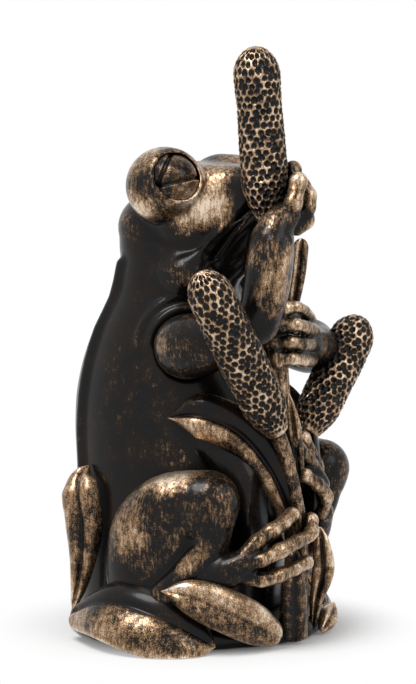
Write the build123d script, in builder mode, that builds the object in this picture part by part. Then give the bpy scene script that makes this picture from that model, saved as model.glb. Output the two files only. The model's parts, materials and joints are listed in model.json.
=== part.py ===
from build123d import *
import os

# A table ornament: a frog sitting up on a round plinth, holding three bulrushes among broad leaves.
# Millimetres, +Z up, the frog looks along -Y. Stations are (x, y, height above the plinth's top, size).

# Plinth and felt
plinth_radius = 42.5
plinth_height = 7.5
plinth_back = 1.0
plinth_round = 3.0
felt_radius = 38.0
felt_thickness = 1.5
felt_recess = 1.0

# Seats: the clearance that glue fills, and how deep the reeds stand in the plinth and the spikes
glue_line = 0.15
stem_seat = 4.0
spike_seat = 12.0

# Reeds: a wire in a stem, under a spike with a tapering foot and a long domed tip, whose curve leaves
# each end of a quarter turn by this share of it
stem_radius = 2.5
wire_radius = 0.8
spike_radius = 7.2
spike_foot_radius = 3.6
spike_foot_height = 15.0
spike_foot_turn = 5.0
spike_dome = 9.3
quarter_turn = 0.552
right_bend_radius = 58.0
left_bend_radius = 26.0
tall_spike_length = 55.3
right_spike_length = 60.5
left_spike_length = 46.0

# Head: eyes in their bulges, the pouches under the jaw and the mouth line
eye_radius = 8.4
eye_bulge_radius = 12.5
eye_spread = 17.6
eye_forward = 5.8
left_eye_drop = 3.0
pouch_radius = 8.4
pouch_spread = 15.0
mouth_gap = 1.2
mouth_depth = 1.3
mouth_back = 10.0
mouth_reach = 60.0

# Limbs: balls where the lofts of a limb meet, and pads at the tips of fingers and toes
right_knee_radius = 9.2
left_knee_radius = 8.4
heel_radius = 5.4
sole_radius = 4.8
right_elbow_radius = 6.8
left_elbow_radius = 9.0
finger_pad = 2.8
toe_pad = 2.5
limb_seam = Vector(1, 0.3, 0.2)

# Leaves: thickness, and the shares of it that are left at the tip, on the edge and in a wing's crown
leaf_thickness = 2.6
reed_thickness = 1.8
tip_share = 0.4
edge_share = 0.25
crown_share = 0.7

plinth_base = felt_thickness - felt_recess
plinth_top = plinth_base + plinth_height
RIGHT, LEFT = -1, 1

# Torso sections: height, centre y, half width, half depth
torso_sections = [
    (0, 7.5, 33, 34),
    (21, 7.6, 32.8, 34.8),
    (42, 9.2, 30.8, 33.7),
    (63, 10.3, 29.7, 33.4),
    (84, 10.3, 26.4, 28.6),
    (104, 9, 21.4, 20.2),
    (120, 8.5, 17.6, 16.2),
]
belly_fold = [
    (-18.6, -6, 59.2, 5),
    (-16.5, -18, 54.6, 6.5),
    (-15.9, -26, 44.8, 7),
    (-15.4, -29.5, 34, 6.5),
    (-14.3, -30, 23, 5),
]

# Head sections from nape to snout: y, centre height, half width, half height
head_sections = [
    (25.5, 124.5, 7, 5.5),
    (22, 124.8, 14, 10),
    (17, 125.2, 18, 14),
    (9, 125.5, 20, 18.5),
    (0, 124.5, 22, 20.8),
    (-10, 127.5, 19.5, 18.3),
    (-18, 132, 13, 14),
    (-24, 134.5, 8.4, 11),
    (-28.5, 136, 4, 5.5),
]
eye_seat = (2.3, 138)
eye_gaze = Vector(0.52, -0.79, 0.33)
pouch_seat = (-3, 111.5)
mouth_point = (0, -12, 114.6)
mouth_normal = (0, 0.8, 0.6)

# Limb lines on the frog's right side, where x is negative, and on its left
upper_arm = {
    RIGHT: [(-13, -6, 86.5, 9.5), (-25, -11, 87.5, 10.4), (-27.5, -22, 90, 9.4), (-25.5, -31, 93.5, 7.6),
            (-22.1, -35.4, 95.6, 6.2)],
    LEFT: [(18, -2, 88, 9), (28, -14, 86.5, 9.6), (29.5, -24, 84, 8.6)],
}
forearm = {
    RIGHT: [(-21.7, -35.1, 95.3, 5.8), (-22.2, -37.2, 101.7, 7), (-21.5, -38.3, 108.6, 7.4),
            (-20.1, -38.5, 115.7, 7.4), (-19, -38.5, 121.5, 6.6)],
    LEFT: [(29.5, -24, 84, 8.4), (23, -31, 84.5, 7), (15, -33.5, 86, 5.4)],
}
thigh = {
    RIGHT: [(-29.2, 3.3, 9, 11.5), (-31.7, 1.7, 19, 11.8), (-33.8, -2.5, 30, 11.8), (-33.9, -9, 36, 11.4),
            (-33.2, -16.7, 39.2, 10), (-31.7, -23, 40.8, 8.5)],
    LEFT: [(29.2, 3.3, 9, 11.5), (32, 0.5, 19, 11.8), (33.5, -5.5, 31.5, 11.6), (33, -14, 39.8, 10.8),
           (31.8, -22, 43.8, 9.2), (29.8, -28.8, 44.7, 7.8)],
}
shin = {
    RIGHT: [(-32.9, -24.7, 37.9, 7.6), (-37.1, -21.8, 26.5, 5.8), (-39.7, -15.7, 17, 4.8)],
    LEFT: [(29.1, -29.5, 42.2, 7.4), (27.3, -30.6, 34, 5.6), (23.9, -28.8, 24.5, 4.8)],
}
instep = {
    RIGHT: [(-36.7, -14.8, 13.7, 5), (-34.8, -22.6, 15.4, 5.6), (-32.2, -30.6, 18.3, 5.6), (-30.2, -35.6, 21, 4.4)],
    LEFT: [(22.5, -27, 18.5, 4.8), (18.3, -33.1, 24.2, 4.8), (14.1, -37.7, 31.4, 4.2)],
}
palm = {
    RIGHT: [(-19, -38.5, 121, 6.4), (-17.3, -39.3, 125.9, 5.6), (-14.2, -41.5, 129.9, 4.2)],
    LEFT: [(16, -33, 86, 5.2), (12, -34, 87, 5.8), (8.5, -36, 88, 4.6)],
}
knee_radius = {RIGHT: right_knee_radius, LEFT: left_knee_radius}
elbow_radius = {RIGHT: right_elbow_radius, LEFT: left_elbow_radius}

# Fingers and toes, each from its knuckle to its pad
fingers = {
    RIGHT: [
        [(-10.5, -39.5, 129, 2.8), (-5.5, -39.6, 137.5, 2.6), (-2.6, -36.6, 143, 2.5)],
        [(-14.4, -42, 128, 3), (-14.6, -43.7, 133.4, 2.8), (-12.1, -43.9, 139.6, 2.6)],
        [(-11, -42.5, 129.8, 2.7), (-7.6, -43.2, 135.4, 2.3), (-4.6, -41, 139, 2.2), (-2.2, -37.6, 140, 2.2)],
        [(-11, -42.5, 126.4, 2.7), (-6.8, -43, 129.7, 2.3), (-3.4, -41.6, 132, 2.2), (-0.6, -37.6, 133.8, 2.2)],
    ],
    LEFT: [
        [(10, -34.5, 92, 2.6), (6, -37.5, 95.2, 2.2), (-1.9, -40.2, 98.4, 1.9), (-7.4, -40.4, 100.2, 1.8),
         (-9.4, -38.4, 99.8, 1.8)],
        [(10, -35, 89, 2.8), (7, -38, 91, 2.5), (-2.8, -41.2, 93.4, 2.2), (-9.2, -41, 94.8, 2.1),
         (-10.8, -38, 94.6, 2.1)],
        [(10, -35, 85.5, 2.8), (7, -37.7, 86.6, 2.6), (-4.3, -40.6, 88.2, 2.4), (-10.4, -39.6, 89.3, 2.2),
         (-11.5, -35.8, 89, 2.2)],
        [(10, -35, 82.6, 2.8), (7.6, -36.9, 82.2, 2.6), (-2.2, -40, 83, 2.4), (-9.2, -39.6, 84, 2.2),
         (-11.3, -36.4, 84, 2.2)],
    ],
}
toes = {
    RIGHT: [
        [(-31, -35.4, 22.7, 2.9), (-27.4, -38.3, 27.4, 2.5), (-22.5, -40.7, 30.4, 2.6), (-16.8, -41.7, 32.5, 2.3),
         (-12.6, -42, 34.3, 2.3)],
        [(-31.7, -36.1, 20.4, 2.6), (-28.7, -40.9, 22.3, 2.2), (-23.5, -44.4, 24.7, 2.5), (-15.3, -45.4, 26.4, 2.2),
         (-6.2, -45.7, 28.4, 2.3), (-3.5, -44, 31.4, 2.3)],
        [(-30.3, -36.4, 16.7, 2.6), (-27.8, -40.4, 15.7, 2.2), (-22, -43.1, 16.7, 2.4), (-14.7, -44.4, 17.6, 2.1),
         (-8.1, -44.8, 18.6, 2.2)],
    ],
    LEFT: [
        [(16.2, -35.4, 34.3, 2.2), (12.5, -37.1, 46.7, 2.1), (6, -35.9, 56.2, 2.1)],
        [(12.2, -38.4, 33.7, 2.4), (9.1, -40.9, 41.6, 2.3), (2.8, -40.4, 48.8, 2.2), (-3.8, -38.3, 56.2, 2.2)],
        [(10.7, -39.7, 32.1, 2.4), (8.9, -42.5, 37.5, 2.3), (3.9, -42, 42.3, 2.2), (-1.2, -40.5, 45.7, 2.2)],
    ],
}

# Reeds: foot on the plinth, bend, and the point that the spike aims at
tall_foot = (4.6, -35)
tall_aim = (-13.3, -28.8, 181)
tall_spike_start = 127.0
right_foot = (0.2, -38.4)
right_bend = (-7.3, -41, 47)
right_aim = (-45.1, -28.7, 112)
right_neck = 16.4
left_foot = (8.6, -31)
left_bend = (6.2, -32, 49.2)
left_aim = (40.8, -37.5, 93)
left_neck = 10.0

# Leaves at the rim: spine stations as bearing round the plinth, distance out from its rim, height and
# share of the width, then the width, the fold of the wings and the way the leaf faces
back_leaf = dict(
    rim=[(141.8, 0.5, 0.4, 0.15), (144.5, -0.6, 8, 0.42), (146.4, -1.3, 15.5, 0.64), (147.4, -1.7, 29.3, 1),
         (144.4, -1.2, 39.7, 0.98), (139.8, -3.8, 45, 0.55), (138.8, -6.1, 47.5, 0.1)],
    width=13.4, fold=-0.12, start=(-0.97, -0.25, 0), end=(-0.97, -0.1, 0.1))
ground_leaf = dict(
    rim=[(148.5, 3.5, -0.8, 0.3), (177.9, 5.8, 5.8, 0.88), (199.4, 6.3, 2.6, 1), (215.1, 4.1, -3.8, 0.65),
         (219.5, 3.4, -5.6, 0.15)],
    width=25, fold=-0.14, start=(-0.75, 0.4, 0.55), end=(-0.7, -0.5, 0.6))
front_leaves = {
    "front_leaf": dict(
        rim=[(248, 2.7, -4.5, 0.5), (237, 4.5, 0.2, 0.9), (225.2, 6.9, 5.4, 1), (215.5, 8.1, 9.4, 0.95),
             (207.4, 7.7, 11.8, 0.7), (198.4, 6.4, 12.6, 0.1)],
        width=14, fold=-0.15, start=(-0.6, -0.8, 0.1), end=(-0.95, -0.2, 0.2)),
    "sheath_leaf": dict(
        rim=[(257.9, 0.5, -7.2, 1), (257, 1.1, 3, 0.95), (256.5, 1.7, 13, 0.75)],
        width=9.6, fold=-0.1, start=(-0.7, -0.7, 0), end=(-0.7, -0.7, 0)),
    "curled_leaf": dict(
        rim=[(276, -1.3, -6.8, 0.2), (276.1, -0.2, 3.6, 0.55), (277.3, 1.9, 14.7, 1), (276.8, 1.4, 22.9, 0.75),
             (277.8, 0.5, 28.3, 0.4)],
        width=7.6, fold=0.3, start=(-0.6, -0.8, 0), end=(-0.6, -0.8, 0)),
    "low_leaf": dict(
        rim=[(280, 0.8, -6.4, 0.35), (287.4, 1.6, -3.2, 1), (299, 2.2, 0.6, 0.2)],
        width=7, fold=-0.1, start=(0, -0.9, 0.5), end=(0.1, -0.8, 0.6)),
}

# Leaves in the clump: spine stations as places, the rest as above
flank_leaf = dict(
    spine=[(-7.5, -39, 33, 0.45), (-13.6, -34.8, 49, 0.8), (-20.2, -26.2, 61.3, 1), (-25.4, -16, 65.7, 1),
           (-27.2, -4.6, 64.5, 0.1)],
    width=15, fold=-0.1, start=(-0.6, -0.75, 0.1), end=(-1, -0.1, 0.2))
reed_blades = {
    "tall_reed_blade": dict(
        spine=[(-0.5, -35, 99, 0.8), (0.2, -36.8, 110.7, 1), (0.5, -38, 121.5, 0.9)],
        width=5.2, fold=0.1, start=(-0.85, -0.5, 0), end=(-0.85, -0.5, 0)),
    "front_reed_blade": dict(
        spine=[(-3.5, -39.5, 45, 0.8), (-5.5, -38.5, 62, 1), (-7, -37.6, 73, 0.2)],
        width=5, fold=0.1, start=(-0.8, -0.6, 0), end=(-0.8, -0.6, 0)),
}
side_leaves = {"back_leaf": back_leaf, "ground_leaf": ground_leaf, "flank_leaf": flank_leaf}


def above(x, y, height):
    """A point at a height above the plinth's top."""
    return Vector(x, y, plinth_top + height)


def at_rim(bearing, out, height, share):
    """A leaf station placed by the plinth's rim."""
    spot = Vector(plinth_radius + out, 0, 0).rotate(Axis.Z, bearing)
    return spot.X, plinth_back + spot.Y, height, share


def mirrored(line):
    """The same line on the frog's other side."""
    return [(-row[0], *row[1:]) for row in line]


def tangents(points):
    """The direction of a line of points at each of them."""
    last = len(points) - 1
    return [(points[min(i + 1, last)] - points[max(i - 1, 0)]).normalized() for i in range(last + 1)]


def stations(line, grow):
    """Points, directions and sizes along a line, with both ends moved out by grow."""
    points = [above(*row[:3]) for row in line]
    ways = tangents(points)
    points[0] -= ways[0] * grow
    points[-1] += ways[-1] * grow
    return zip(points, ways, [row[3] for row in line])


def ball(centre, radius, seam=Vector(1, 0, 0), mode=Mode.ADD):
    """A sphere whose seam points along a given way, which isn't upright."""
    with Locations(Plane(centre, x_dir=seam, z_dir=seam.cross(Vector(0, 0, 1)))):
        Sphere(radius, mode=mode)


def limb(line, grow=0.0):
    """A round limb lofted through circles square to its line."""
    sections = []
    across = limb_seam
    for point, way, radius in stations(line, grow):
        across = (across - way * across.dot(way)).normalized()
        with BuildSketch(Plane(point, x_dir=across, z_dir=way)) as section:
            Circle(radius + grow)
        sections.append(section.sketch)
    loft(sections)


def digit(line, pad_radius, grow=0.0):
    """A finger or toe that ends in a round pad."""
    limb(line, grow)
    tip = above(*line[-1][:3])
    way = (tip - above(*line[-2][:3])).normalized()
    ball(tip + way * pad_radius / 4, pad_radius + grow, way)


def blade(leaf, thickness, side=RIGHT, grow=0.0):
    """A leaf lofted along its spine: two crowned wings that meet in a midrib groove."""
    line = [at_rim(*row) for row in leaf["rim"]] if "rim" in leaf else leaf["spine"]
    count = len(line)
    line = line if side == RIGHT else mirrored(line)
    start, end = (Vector(-side * v[0], *v[1:]) for v in (leaf["start"], leaf["end"]))
    sections = []
    for i, (point, way, share) in enumerate(stations(line, grow)):
        facing = start + (end - start) * (i / (count - 1))
        half = leaf["width"] / 2 * share + grow
        body = thickness * (tip_share + (1 - tip_share) * share)
        lift = leaf["fold"] * half
        rim = body * edge_share + grow
        crown = lift / 2 + body * crown_share + grow
        with BuildSketch(Plane(point, x_dir=facing.cross(way), z_dir=way)) as section:
            with BuildLine():
                ThreePointArc((-half, lift + rim), (-half / 2, crown), (0, body / 2 + grow))
                ThreePointArc((0, body / 2 + grow), (half / 2, crown), (half, lift + rim))
                Line((half, lift + rim), (half, lift - rim))
                ThreePointArc((half, lift - rim), (0, -body / 2 - grow), (-half, lift - rim))
                Line((-half, lift - rim), (-half, lift + rim))
            make_face()
        sections.append(section.sketch)
    loft(sections)


def make_room(*spaces):
    """Cut away the space that neighbouring pieces take up."""
    for space in spaces:
        add(space, mode=Mode.SUBTRACT)


def room(form, *values):
    """The space of a form with one glue line of clearance all round."""
    with BuildPart() as space:
        form(*values, grow=glue_line)
    return space.part


def write(piece, name):
    piece.part.label = name
    export_step(piece.part, f"parts/{name}.step")


def plinth_form(grow=0.0):
    """The plinth's outline, rounded above."""
    with BuildSketch(Plane((0, plinth_back, plinth_base - grow))) as disc:
        Circle(plinth_radius + grow)
    extrude(disc.sketch, amount=plinth_height + 2 * grow)
    fillet(faces().sort_by(Axis.Z)[-1].edges(), plinth_round)


def ground():
    """Everything below the plinth's underside."""
    with Locations((0, 0, plinth_base)):
        Box(4 * plinth_radius, 4 * plinth_radius, plinth_height, align=(Align.CENTER, Align.CENTER, Align.MAX))


def torso_form(grow=0.0):
    """The sitting body up to the neck."""
    top = torso_sections[-1][0]
    sections = []
    for height, centre, half_width, half_depth in torso_sections:
        lift = glue_line if height == 0 else 0
        lift += grow if height == top else 0
        with BuildSketch(Plane(above(0, centre, height + lift))) as section:
            Ellipse(half_width + grow, half_depth + grow)
        sections.append(section.sketch)
    loft(sections)
    limb(belly_fold, grow)


def head_form(grow=0.0):
    """The skull and jaw from nape to snout."""
    sections = []
    for y, height, half_width, half_height in head_sections:
        with BuildSketch(Plane(above(0, y, height), x_dir=(1, 0, 0), z_dir=(0, -1, 0))) as section:
            Ellipse(half_width + grow, half_height + grow)
        sections.append(section.sketch)
    loft(sections)


def eye_bulge(side):
    """The middle of the bulge that holds an eye."""
    y, height = eye_seat
    return above(side * eye_spread, y, height - (left_eye_drop if side > 0 else 0))


def gaze(side):
    """The way an eye looks."""
    return Vector(side * eye_gaze.X, eye_gaze.Y, eye_gaze.Z).normalized()


def eye_form(side, radius, mode=Mode.ADD):
    """An eyeball, or its socket, moved along its gaze from the middle of its bulge."""
    ball(eye_bulge(side) + gaze(side) * eye_forward, radius, gaze(side) * -1, mode)


def leg_form(side, grow=0.0):
    """A folded hind leg: thigh, knee and shin."""
    limb(thigh[side], grow)
    ball(above(*thigh[side][-1][:3]), knee_radius[side] + grow)
    limb(shin[side], grow)


def foot_form(side, grow=0.0):
    """A foot with its heel, the ball of the foot and its toes."""
    limb(instep[side], grow)
    ball(above(*instep[side][0][:3]), heel_radius + grow)
    ball(above(*instep[side][-1][:3]), sole_radius + grow)
    for toe in toes[side]:
        digit(toe, toe_pad, grow)


def arm_form(side, grow=0.0):
    """A bent arm: upper arm, elbow and forearm."""
    limb(upper_arm[side], grow)
    ball(above(*upper_arm[side][-1][:3]), elbow_radius[side] + grow)
    limb(forearm[side], grow)


def hand_form(side, grow=0.0):
    """A palm with its four fingers."""
    limb(palm[side], grow)
    for finger in fingers[side]:
        digit(finger, finger_pad, grow)


def stem_form(reed, radius, grow=0.0):
    """A round stem or wire along a reed's route, from its seat in the plinth to its seat in the spike."""
    points = list(reed["route"])
    points[0] -= (points[1] - points[0]).normalized() * grow
    points[-1] += (points[-1] - points[-2]).normalized() * grow
    with BuildLine() as route:
        if len(points) == 2:
            Line(*points)
        else:
            FilletPolyline(*points, radius=reed["bend_radius"])
    with BuildSketch(Plane(route.line @ 0, z_dir=route.line % 0)) as section:
        Circle(radius + grow)
    sweep(section.sketch, path=route.line)


def spike_form(reed, bored=False, grow=0.0):
    """A bulrush spike turned about its stem: tapering foot, straight side and domed tip."""
    start, way, length = reed["start"], reed["way"], reed["length"]
    across = way.cross(Vector(0, 1, 0)).normalized()
    wide = spike_radius + grow
    foot = spike_foot_radius + grow
    shoulder = length - spike_dome
    dome = spike_dome + grow
    bore = stem_radius + glue_line
    depth = spike_seat + glue_line
    with BuildSketch(Plane(start, x_dir=across, z_dir=across.cross(way))) as profile:
        with BuildLine():
            if bored:
                Polyline((0, length + grow), (0, depth), (bore, depth), (bore, -grow), (foot, -grow))
            else:
                Polyline((0, length + grow), (0, -grow), (foot, -grow))
            Bezier((foot, -grow), (wide, spike_foot_turn), (wide, spike_foot_height))
            Line((wide, spike_foot_height), (wide, shoulder))
            Bezier((wide, shoulder), (wide, shoulder + dome * quarter_turn), (wide * quarter_turn, shoulder + dome),
                   (0, shoulder + dome))
        make_face()
    revolve(profile.sketch, axis=Axis(start, way))


def straight_reed(foot, aim, start_height, length):
    """A reed whose stem and spike share one straight line."""
    way = (above(*aim) - above(*foot, 0)).normalized()
    start = above(*foot, 0) + way * (start_height / way.Z)
    root = above(*foot, 0) - way * (stem_seat / way.Z)
    return dict(route=[root, start + way * spike_seat], start=start, way=way, length=length)


def bent_reed(foot, bend, bend_radius, aim, neck, length):
    """A reed whose stem bends once below its leaning spike."""
    rise = (above(*bend) - above(*foot, 0)).normalized()
    way = (above(*aim) - above(*bend)).normalized()
    start = above(*bend) + way * neck
    root = above(*foot, 0) - rise * (stem_seat / rise.Z)
    route = [root, above(*bend), start + way * spike_seat]
    return dict(route=route, bend_radius=bend_radius, start=start, way=way, length=length)


reeds = {
    "tall": straight_reed(tall_foot, tall_aim, tall_spike_start, tall_spike_length),
    "right": bent_reed(right_foot, right_bend, right_bend_radius, right_aim, right_neck, right_spike_length),
    "left": bent_reed(left_foot, left_bend, left_bend_radius, left_aim, left_neck, left_spike_length),
}

# The spaces that pieces take up, for cutting their neighbours
with BuildPart() as below:
    ground()
plinth_room = room(plinth_form)
torso_room = room(torso_form)
stem_rooms = [room(stem_form, reed, stem_radius) for reed in reeds.values()]
spike_rooms = {name: room(spike_form, reed) for name, reed in reeds.items()}
arm_rooms = {side: room(arm_form, side) for side in (RIGHT, LEFT)}
leg_rooms = {side: room(leg_form, side) for side in (RIGHT, LEFT)}
foot_rooms = {side: room(foot_form, side) for side in (RIGHT, LEFT)}
hand_rooms = {side: room(hand_form, side) for side in (RIGHT, LEFT)}

os.makedirs("parts", exist_ok=True)

# Plinth with sockets for the reeds and a shallow recess for the felt
with BuildPart() as plinth:
    plinth_form()
    underside = plinth.faces().sort_by(Axis.Z)[0]
    with BuildSketch(underside):
        Circle(felt_radius + glue_line)
    extrude(amount=-felt_recess, mode=Mode.SUBTRACT)
    make_room(*stem_rooms)
write(plinth, "plinth")

with BuildPart() as felt_pad:
    with BuildSketch(Plane((0, plinth_back, 0))):
        Circle(felt_radius)
    extrude(amount=felt_thickness)
write(felt_pad, "felt_pad")

with BuildPart() as torso:
    torso_form()
write(torso, "torso")

# A thin band round the snout, as deep as the mouth line
with BuildPart() as mouth:
    head_form(grow=mouth_gap)
    with BuildSketch(Plane(above(*mouth_point), x_dir=(1, 0, 0), z_dir=mouth_normal)):
        with Locations((0, mouth_back)):
            Rectangle(2 * mouth_reach, mouth_reach, align=(Align.CENTER, Align.MAX))
    extrude(amount=mouth_gap / 2, both=True, mode=Mode.INTERSECT)
with BuildPart() as mouth_core:
    head_form(grow=-mouth_depth)

with BuildPart() as head:
    head_form()
    make_room(mouth.part - mouth_core.part)
    for side in (RIGHT, LEFT):
        ball(eye_bulge(side), eye_bulge_radius)
        ball(above(side * pouch_spread, *pouch_seat), pouch_radius)
    for side in (RIGHT, LEFT):
        eye_form(side, eye_radius + glue_line, Mode.SUBTRACT)
    make_room(torso_room, spike_rooms["tall"])
write(head, "head")

for side, name in ((RIGHT, "right"), (LEFT, "left")):
    with BuildPart() as eye:
        eye_form(side, eye_radius)
    write(eye, f"{name}_eye")
    with BuildPart() as arm:
        arm_form(side)
        make_room(torso_room, *spike_rooms.values(), *stem_rooms)
    write(arm, f"{name}_arm")
    with BuildPart() as hand:
        hand_form(side)
        make_room(arm_rooms[side], *spike_rooms.values(), *stem_rooms)
    write(hand, f"{name}_hand")
    with BuildPart() as leg:
        leg_form(side)
        make_room(torso_room, plinth_room)
    write(leg, f"{name}_hind_leg")
    with BuildPart() as foot:
        foot_form(side)
        make_room(leg_rooms[side], plinth_room, torso_room, *stem_rooms)
    write(foot, f"{name}_foot")

# Reeds: each stem is bored for its wire, and each spike is bored for its stem
with BuildPart() as stem_wires:
    for reed in reeds.values():
        stem_form(reed, wire_radius)
write(stem_wires, "stem_wires")
for name, reed in reeds.items():
    with BuildPart() as stem:
        stem_form(reed, stem_radius)
        make_room(room(stem_form, reed, wire_radius))
    write(stem, f"{name}_stem")
    with BuildPart() as spike:
        spike_form(reed, bored=True)
    write(spike, f"{name}_spike")

# Leaves of both sides, then those in front, each cut to fit round what it lies against
leaf_rooms = {}
for side, name in ((RIGHT, "right"), (LEFT, "left")):
    for kind, leaf in side_leaves.items():
        with BuildPart() as blade_piece:
            blade(leaf, leaf_thickness, side)
            make_room(below.part, plinth_room, torso_room, leg_rooms[side], foot_rooms[side], arm_rooms[side])
            make_room(*stem_rooms, *spike_rooms.values())
        write(blade_piece, f"{name}_{kind}")
        leaf_rooms[f"{name}_{kind}"] = room(blade, leaf, leaf_thickness, side)
for kind, leaf in front_leaves.items():
    with BuildPart() as blade_piece:
        blade(leaf, leaf_thickness)
        make_room(below.part, plinth_room, *leg_rooms.values(), *foot_rooms.values())
        make_room(*stem_rooms, *leaf_rooms.values())
    write(blade_piece, kind)
    leaf_rooms[kind] = room(blade, leaf, leaf_thickness)
for kind, leaf in reed_blades.items():
    with BuildPart() as blade_piece:
        blade(leaf, reed_thickness)
        make_room(*hand_rooms.values(), *arm_rooms.values(), *foot_rooms.values(), *stem_rooms)
        make_room(*spike_rooms.values(), *leaf_rooms.values())
    write(blade_piece, kind)
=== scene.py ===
import json
import math

import bpy
import numpy as np
import openvdb
from bpy.props import FloatProperty, FloatVectorProperty, IntProperty, PointerProperty
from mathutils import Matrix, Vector

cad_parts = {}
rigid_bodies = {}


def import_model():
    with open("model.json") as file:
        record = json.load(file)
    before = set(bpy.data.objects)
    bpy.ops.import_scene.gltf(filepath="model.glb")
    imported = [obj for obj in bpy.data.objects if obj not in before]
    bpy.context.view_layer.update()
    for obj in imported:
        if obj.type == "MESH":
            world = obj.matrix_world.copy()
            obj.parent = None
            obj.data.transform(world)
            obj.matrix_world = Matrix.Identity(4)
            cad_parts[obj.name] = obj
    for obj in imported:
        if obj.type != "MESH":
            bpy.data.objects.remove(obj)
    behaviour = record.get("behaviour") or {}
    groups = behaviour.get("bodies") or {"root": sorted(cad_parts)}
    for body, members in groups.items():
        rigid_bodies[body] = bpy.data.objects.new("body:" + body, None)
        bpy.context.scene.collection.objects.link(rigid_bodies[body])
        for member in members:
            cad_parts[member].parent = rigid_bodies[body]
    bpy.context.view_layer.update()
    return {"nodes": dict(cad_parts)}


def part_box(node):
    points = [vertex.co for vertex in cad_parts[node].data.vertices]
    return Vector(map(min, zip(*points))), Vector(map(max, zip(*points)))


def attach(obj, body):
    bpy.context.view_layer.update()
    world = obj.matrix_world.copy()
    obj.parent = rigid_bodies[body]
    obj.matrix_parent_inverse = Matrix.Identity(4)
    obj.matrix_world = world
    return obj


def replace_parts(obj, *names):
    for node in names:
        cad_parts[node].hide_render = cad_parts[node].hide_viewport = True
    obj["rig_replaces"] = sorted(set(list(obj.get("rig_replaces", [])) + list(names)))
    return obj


bl_info = {
    "name": "Frog with bulrushes",
    "version": (1, 0, 0),
    "blender": (4, 5, 0),
    "location": "3D View > Sidebar > Frog",
    "description": "Sculpts a bronzed ornament, a frog that holds three bulrushes, round its solids",
    "category": "Add Mesh",
}

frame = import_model()
MM = 0.001
PLINTH_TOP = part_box("plinth")[1].z / MM
FLOOR = -PLINTH_TOP
RIGHT, LEFT = -1, 1
SIDES = {"right": RIGHT, "left": LEFT}

# Torso sections: height above the plinth, centre y, half width, half depth
TORSO = [
    (0, 7.5, 33, 34), (18, 7.5, 33, 35), (45, 9.5, 30.5, 33.5), (60, 10.2, 30, 33.6), (70, 10.5, 29, 32.8),
    (92, 10, 25, 26), (104, 9, 21.3, 20), (112, 8.5, 20.5, 18.5), (121, 8.5, 17, 16), (126, 8.5, 9, 8),
]
# The back is flat past this share of its half depth, with a low ridge down each side
BACK_FLAT = 0.955
RIDGE_OUT, RIDGE_BACK, RIDGE_RADIUS = 0.8, 0.6, 1.9
RIDGE_HEIGHTS = (30, 45, 60, 75, 90, 102, 112)
BELLY_FOLD = [(-18.6, -6, 59.2, 5), (-16.5, -18, 54.6, 6.5), (-15.9, -26, 44.8, 7), (-15.4, -29.5, 34, 6.5),
              (-14.3, -30, 23, 5)]

# Limb lines on the frog's right side and its left: x, y, height above the plinth, radius
UPPER_ARM = {
    RIGHT: [(-13, -6, 86.5, 9.5), (-25, -11, 87.5, 10.4), (-27.5, -22, 90, 9.4), (-25.5, -31, 93.5, 7.6),
            (-22.1, -35.4, 95.6, 6.2)],
    LEFT: [(18, -2, 88, 9), (28, -14, 86.5, 9.6), (29.5, -24, 84, 8.6)],
}
FOREARM = {
    RIGHT: [(-21.7, -35.1, 95.3, 5.8), (-22.2, -37.2, 101.7, 7), (-21.5, -38.3, 108.6, 7.4),
            (-20.1, -38.5, 115.7, 7.4), (-19, -38.5, 121.5, 6.6)],
    LEFT: [(29.5, -24, 84, 8.4), (23, -31, 84.5, 7), (15, -33.5, 86, 5.4)],
}
SINEWS = {
    RIGHT: [
        [(-23.4, -40.2, 96, 1.7), (-24.3, -44.1, 108.6, 2.1), (-22.1, -44.5, 116, 2.1),
         (-19.4, -44.1, 121.5, 1.8)],
        [(-28.2, -38.9, 103.4, 1.7), (-27.3, -41, 110, 2), (-25.7, -42, 115.7, 2),
         (-23.7, -41.9, 121.5, 1.7)],
    ],
    LEFT: [],
}
THIGH = {
    RIGHT: [(-29.2, 3.3, 9, 11.5), (-31.7, 1.7, 19, 11.8), (-33.8, -2.5, 30, 11.8), (-33.9, -9, 36, 11.4),
            (-33.2, -16.7, 39.2, 10), (-31.7, -23, 40.8, 8.5)],
    LEFT: [(29.2, 3.3, 9, 11.5), (32, 0.5, 19, 11.8), (33.5, -5.5, 31.5, 11.6), (33, -14, 39.8, 10.8),
           (31.8, -22, 43.8, 9.2), (29.8, -28.8, 44.7, 7.8)],
}
HAM = {
    RIGHT: [(-32.3, -4.9, 14, 11), (-31.1, -8.8, 23, 11.5), (-30.1, -14.1, 31, 10)],
    LEFT: [(32.3, -4.9, 14, 11), (31.1, -8.8, 23, 11.5), (30.1, -14.1, 32, 10)],
}
SHIN = {
    RIGHT: [(-32.9, -24.7, 37.9, 7.6), (-33.6, -25, 26.5, 5.7), (-38, -19.2, 17.5, 4.8),
            (-41, -12.4, 10.5, 4.5)],
    LEFT: [(29.1, -29.5, 42.2, 7.4), (27.3, -30.6, 34, 5.6), (23.9, -28.8, 24.5, 4.8)],
}
FOOT = {
    RIGHT: [(-36.7, -14.8, 13.7, 5), (-34.8, -22.6, 15.4, 5.6), (-32.2, -30.6, 18.3, 5.6),
            (-30.2, -35.6, 21, 4.4)],
    LEFT: [(22.5, -27, 18.5, 4.8), (18.3, -33.1, 24.2, 4.8), (14.1, -37.7, 31.4, 4.2)],
}
PALM = {
    RIGHT: [(-19, -38.5, 121, 6.6), (-17.3, -39.3, 125.9, 5.6), (-14.2, -41.5, 129.9, 4.2)],
    LEFT: [(16, -33, 86, 5.2), (12, -34, 87, 5.8), (8.5, -36, 88, 4.6)],
}
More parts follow.
